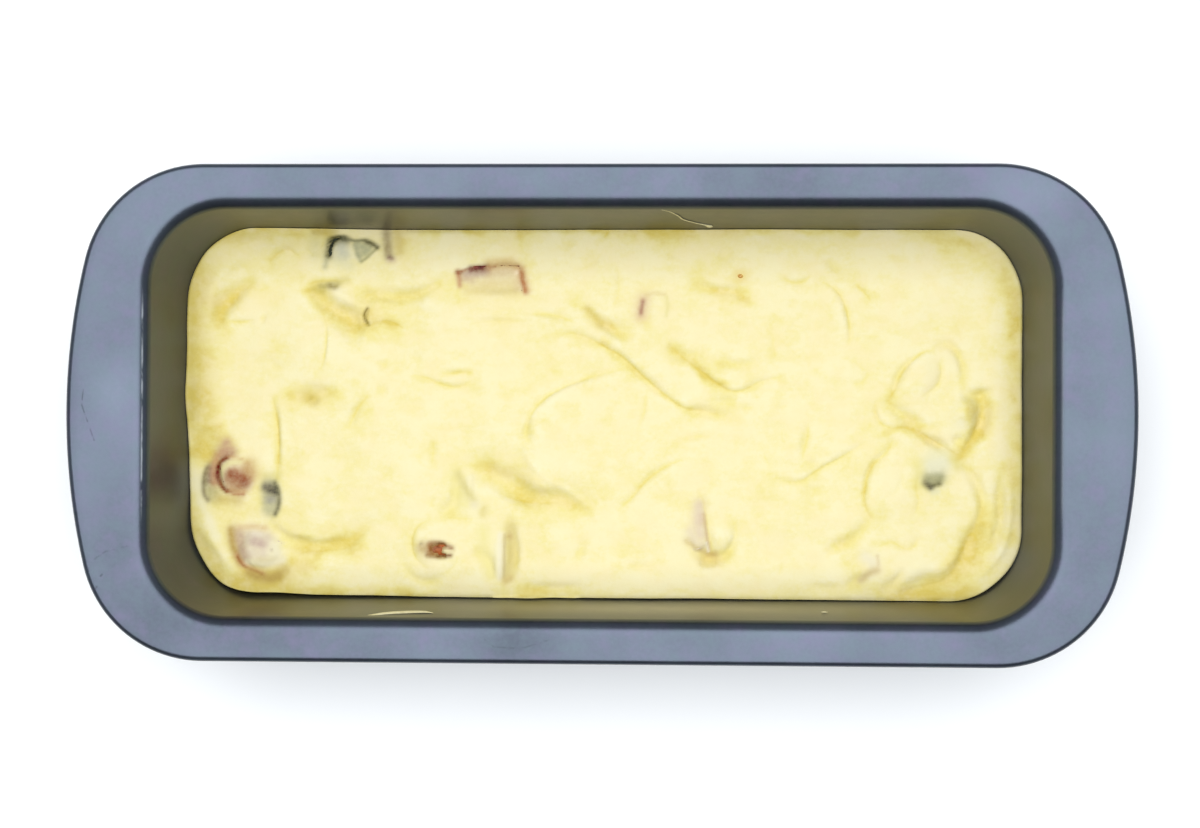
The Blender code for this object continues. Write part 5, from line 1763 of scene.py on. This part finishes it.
STRANDS = (
    Strand("batter_thread_back", (
        (17.8, 57.2, 66.2), (20.0, 56.9, 63.5), (22.2, 56.1, 59.0), (23.4, 55.5, 54.4),
        (26.5, 54.9, 50.0), (29.6, 54.5, 46.6), (30.8, 54.3, 45.0), (31.6, 54.2, 43.8)),
        (0.10, 0.16, 0.22, 0.28, 0.22, 0.34, 0.85, 0.3), 0.5),
    Strand("batter_smear_front", (
        (-73.0, -58.6, 67.2), (-66.0, -57.4, 64.6), (-60.0, -56.6, 62.2), (-54.0, -56.3, 60.6),
        (-49.5, -56.2, 60.2), (-46.6, -56.4, 61.0)),
        (0.3, 0.6, 1.0, 1.1, 0.9, 0.2), 0.35),
    Strand("batter_speck_front", (
        (63.0, -55.6, 56.4), (63.8, -55.6, 56.0), (64.8, -55.6, 56.2)),
        (0.12, 0.35, 0.12), 0.5),
)
STRAND_SIDES = 10


def smooth_points(points, steps=6):
    """Points along a smooth curve through the given points, of any number of parts."""
    knots = np.array(points, float)
    knots = np.vstack([2 * knots[0] - knots[1], knots, 2 * knots[-1] - knots[-2]])
    share = np.linspace(0, 1, steps, endpoint=False)[:, None]
    spans = []
    for a, b, c, d in zip(knots, knots[1:], knots[2:], knots[3:]):
        spans.append(0.5 * (2 * b + (c - a) * share + (2 * a - 5 * b + 4 * c - d) * share ** 2
                            + (3 * b - a - 3 * c + d) * share ** 3))
    return np.vstack([*spans, knots[-2:-1]])


def add_strand(strand):
    """A strand that lies on a wall: a circle extruded along its points, flattened to the wall."""
    track = smooth_points([(*p, r) for p, r in zip(strand.points, strand.radii)])
    wall_side = math.copysign(1, track[0, 1])
    rings = []
    for number, (x, y, z, radius) in enumerate(track):
        before, after = track[max(number - 1, 0)], track[min(number + 1, len(track) - 1)]
        ahead = Vector((after - before)[:3]).normalized()
        inwards = Vector((0, -wall_side, 0.15)).normalized()
        sideways = ahead.cross(inwards).normalized()
        ring = []
        for step in range(STRAND_SIDES):
            angle = 2 * math.pi * step / STRAND_SIDES
            point = (Vector((x, y, z)) + sideways * (math.cos(angle) * radius)
                     + inwards * (math.sin(angle) * radius * strand.flat))
            ring.append(point * MM)
        rings.append(ring)
    deselect_first()
    bpy.ops.mesh.primitive_circle_add(vertices=STRAND_SIDES, radius=MM)
    obj = start_piece(strand.name)
    bpy.ops.object.mode_set(mode="EDIT")
    body = bmesh.from_edit_mesh(obj.data)
    for point, place in zip(body.verts, rings[0]):
        point.co = place
    bmesh.update_edit_mesh(obj.data)
    bpy.ops.mesh.select_all(action="SELECT")
    bpy.ops.mesh.edge_face_add()
    ring = list(range(STRAND_SIDES))
    for places in rings[1:]:
        ring = extrude_ring(obj, ring, places)
    bpy.ops.mesh.edge_face_add()
    bpy.ops.mesh.select_all(action="SELECT")
    bpy.ops.mesh.normals_make_consistent(inside=False)
    bpy.ops.object.mode_set(mode="OBJECT")
    return obj


class LOAF_OT_add_smears(bpy.types.Operator):
    """Add the strands of batter on the walls and the loose speck of peel"""

    bl_idname = "loaf.add_smears"
    bl_label = "Smears and specks"

    def execute(self, context):
        settings = context.scene.fruit_loaf
        batter = settings.batter
        finish = Finish("batter_thin")
        fine = finish.noise(1.2 * MM, 3.0)
        thin = tuple(c * 0.9 for c in batter.cream)
        finish.surface(
            Base_Color=finish.mix(fine.rise(0.3, 0.7), thin, batter.crest),
            Roughness=0.4 + (fine - 0.5) * 0.1, Normal=finish.bump(fine, 0.3, 0.2 * MM))
        for strand in STRANDS:
            obj = add_strand(strand)
            finish_piece(obj, finish.material, [], smooth=60)
        speck = Lump("peel_speck", "fruit_brown_red", (39.7, 40.3), (0.9, 0.7, 0.7), 20, 0.35,
                     (0, 0), 0.9, 0, 0.2)
        obj = add_lump(speck, batter.level)
        peel = Finish("peel_speck")
        grain = peel.noise(0.6 * MM, 3.0)
        peel.surface(Base_Color=peel.mix(grain.rise(0.3, 0.7), seen(196, 140, 70),
                                         seen(236, 192, 108)), Roughness=0.35 + grain * 0.1)
        finish_piece(obj, peel.material, [], smooth=60)
        return {"FINISHED"}


# ---------------------------------------------------------------- stage
CAMERA_PLACE = Vector((43.0, -6.2, 850.0)) * MM
CAMERA_YAW = 0.0539
CAMERA_PITCH = 0.0079
CAMERA_ROLL = 0.0046


class LOAF_OT_add_stage(bpy.types.Operator):
    """Add the white table, the soft light overhead, the room's light and the camera"""

    bl_idname = "loaf.add_stage"
    bl_label = "Table, light and camera"

    def execute(self, context):
        stage = context.scene.fruit_loaf.stage
        deselect_first()
        bpy.ops.mesh.primitive_plane_add(size=12)
        table = start_piece("table")
        finish = Finish("white_table")
        cloudy = finish.noise(0.12, 3.0)
        shade = tuple(c * 0.985 for c in stage.table)
        finish.surface(
            Base_Color=finish.mix(cloudy.rise(0.3, 0.7), shade, stage.table), Roughness=0.6)
        table.data.materials.append(finish.material)
        lamp = bpy.data.lights.new("softbox", "AREA")
        lamp.shape = "SQUARE"
        lamp.size = stage.lamp_side
        lamp.energy = stage.lamp_power
        softbox = bpy.data.objects.new("softbox", lamp)
        softbox.location = (0.0, 0.14, stage.lamp_height)
        softbox.visible_camera = False
        context.scene.collection.objects.link(softbox)
        world = bpy.data.worlds.new("room")
        world.use_nodes = True
        room = RoomLight(world)
        towards = room.node("ShaderNodeTexCoord", output="Generated")
        side = room.node(
            "ShaderNodeVectorMath", {"operation": "DOT_PRODUCT"},
            {0: towards, 1: (0.0, 0.13, 0.0)}, "Value")
        end = room.node(
            "ShaderNodeVectorMath", {"operation": "DOT_PRODUCT"},
            {0: towards, 1: (1.0, 0.0, 0.0)}, "Value")
        room.surface(Color=(0.915, 0.955, 1.0), Strength=end * end * 0.26 + side + stage.room)
        context.scene.world = world
        camera = bpy.data.cameras.new("overhead")
        camera.lens = stage.lens
        camera.sensor_width = 36
        camera.clip_start = 0.01
        camera.clip_end = 50
        viewer = bpy.data.objects.new("overhead", camera)
        turn = (Matrix.Rotation(CAMERA_YAW, 4, "Y") @ Matrix.Rotation(CAMERA_PITCH, 4, "X")
                @ Matrix.Rotation(CAMERA_ROLL, 4, "Z"))
        viewer.matrix_world = Matrix.Translation(CAMERA_PLACE) @ turn
        context.scene.collection.objects.link(viewer)
        context.scene.camera = viewer
        context.scene.view_settings.view_transform = "Standard"
        return {"FINISHED"}


# ---------------------------------------------------------------- panel and registration
class LOAF_PT_panel(bpy.types.Panel):
    """Sizes, colours and pieces of the loaf"""

    bl_idname = "LOAF_PT_panel"
    bl_label = "Fruit loaf"
    bl_space_type = "VIEW_3D"
    bl_region_type = "UI"
    bl_category = "Fruit loaf"

    def draw(self, context):
        settings = context.scene.fruit_loaf
        for title, group in (("Tin", settings.tin), ("Batter", settings.batter),
                             ("Fruit", settings.fruit), ("Stage", settings.stage)):
            box = self.layout.box()
            box.label(text=title)
            for name in group.__annotations__:
                box.prop(group, name)
        for operator in STEPS:
            self.layout.operator(operator.bl_idname)


STEPS = (LOAF_OT_add_stage, LOAF_OT_add_tin, LOAF_OT_add_fruit, LOAF_OT_add_batter,
         LOAF_OT_add_smears)
CLASSES = (LoafTinSettings, BatterSettings, FruitSettings, StageSettings, FruitLoafSettings,
           *STEPS, LOAF_PT_panel)


def register():
    """Register the classes and put the settings on the scene."""
    for each in CLASSES:
        bpy.utils.register_class(each)
    bpy.types.Scene.fruit_loaf = PointerProperty(type=FruitLoafSettings)


def unregister():
    """Take the settings off the scene and unregister the classes."""
    del bpy.types.Scene.fruit_loaf
    for each in reversed(CLASSES):
        bpy.utils.unregister_class(each)


def main():
    """Build every piece in order."""
    register()
    bpy.ops.loaf.add_stage()
    bpy.ops.loaf.add_tin()
    bpy.ops.loaf.add_fruit()
    bpy.ops.loaf.add_batter()
    bpy.ops.loaf.add_smears()


if __name__ == "__main__":
    main()
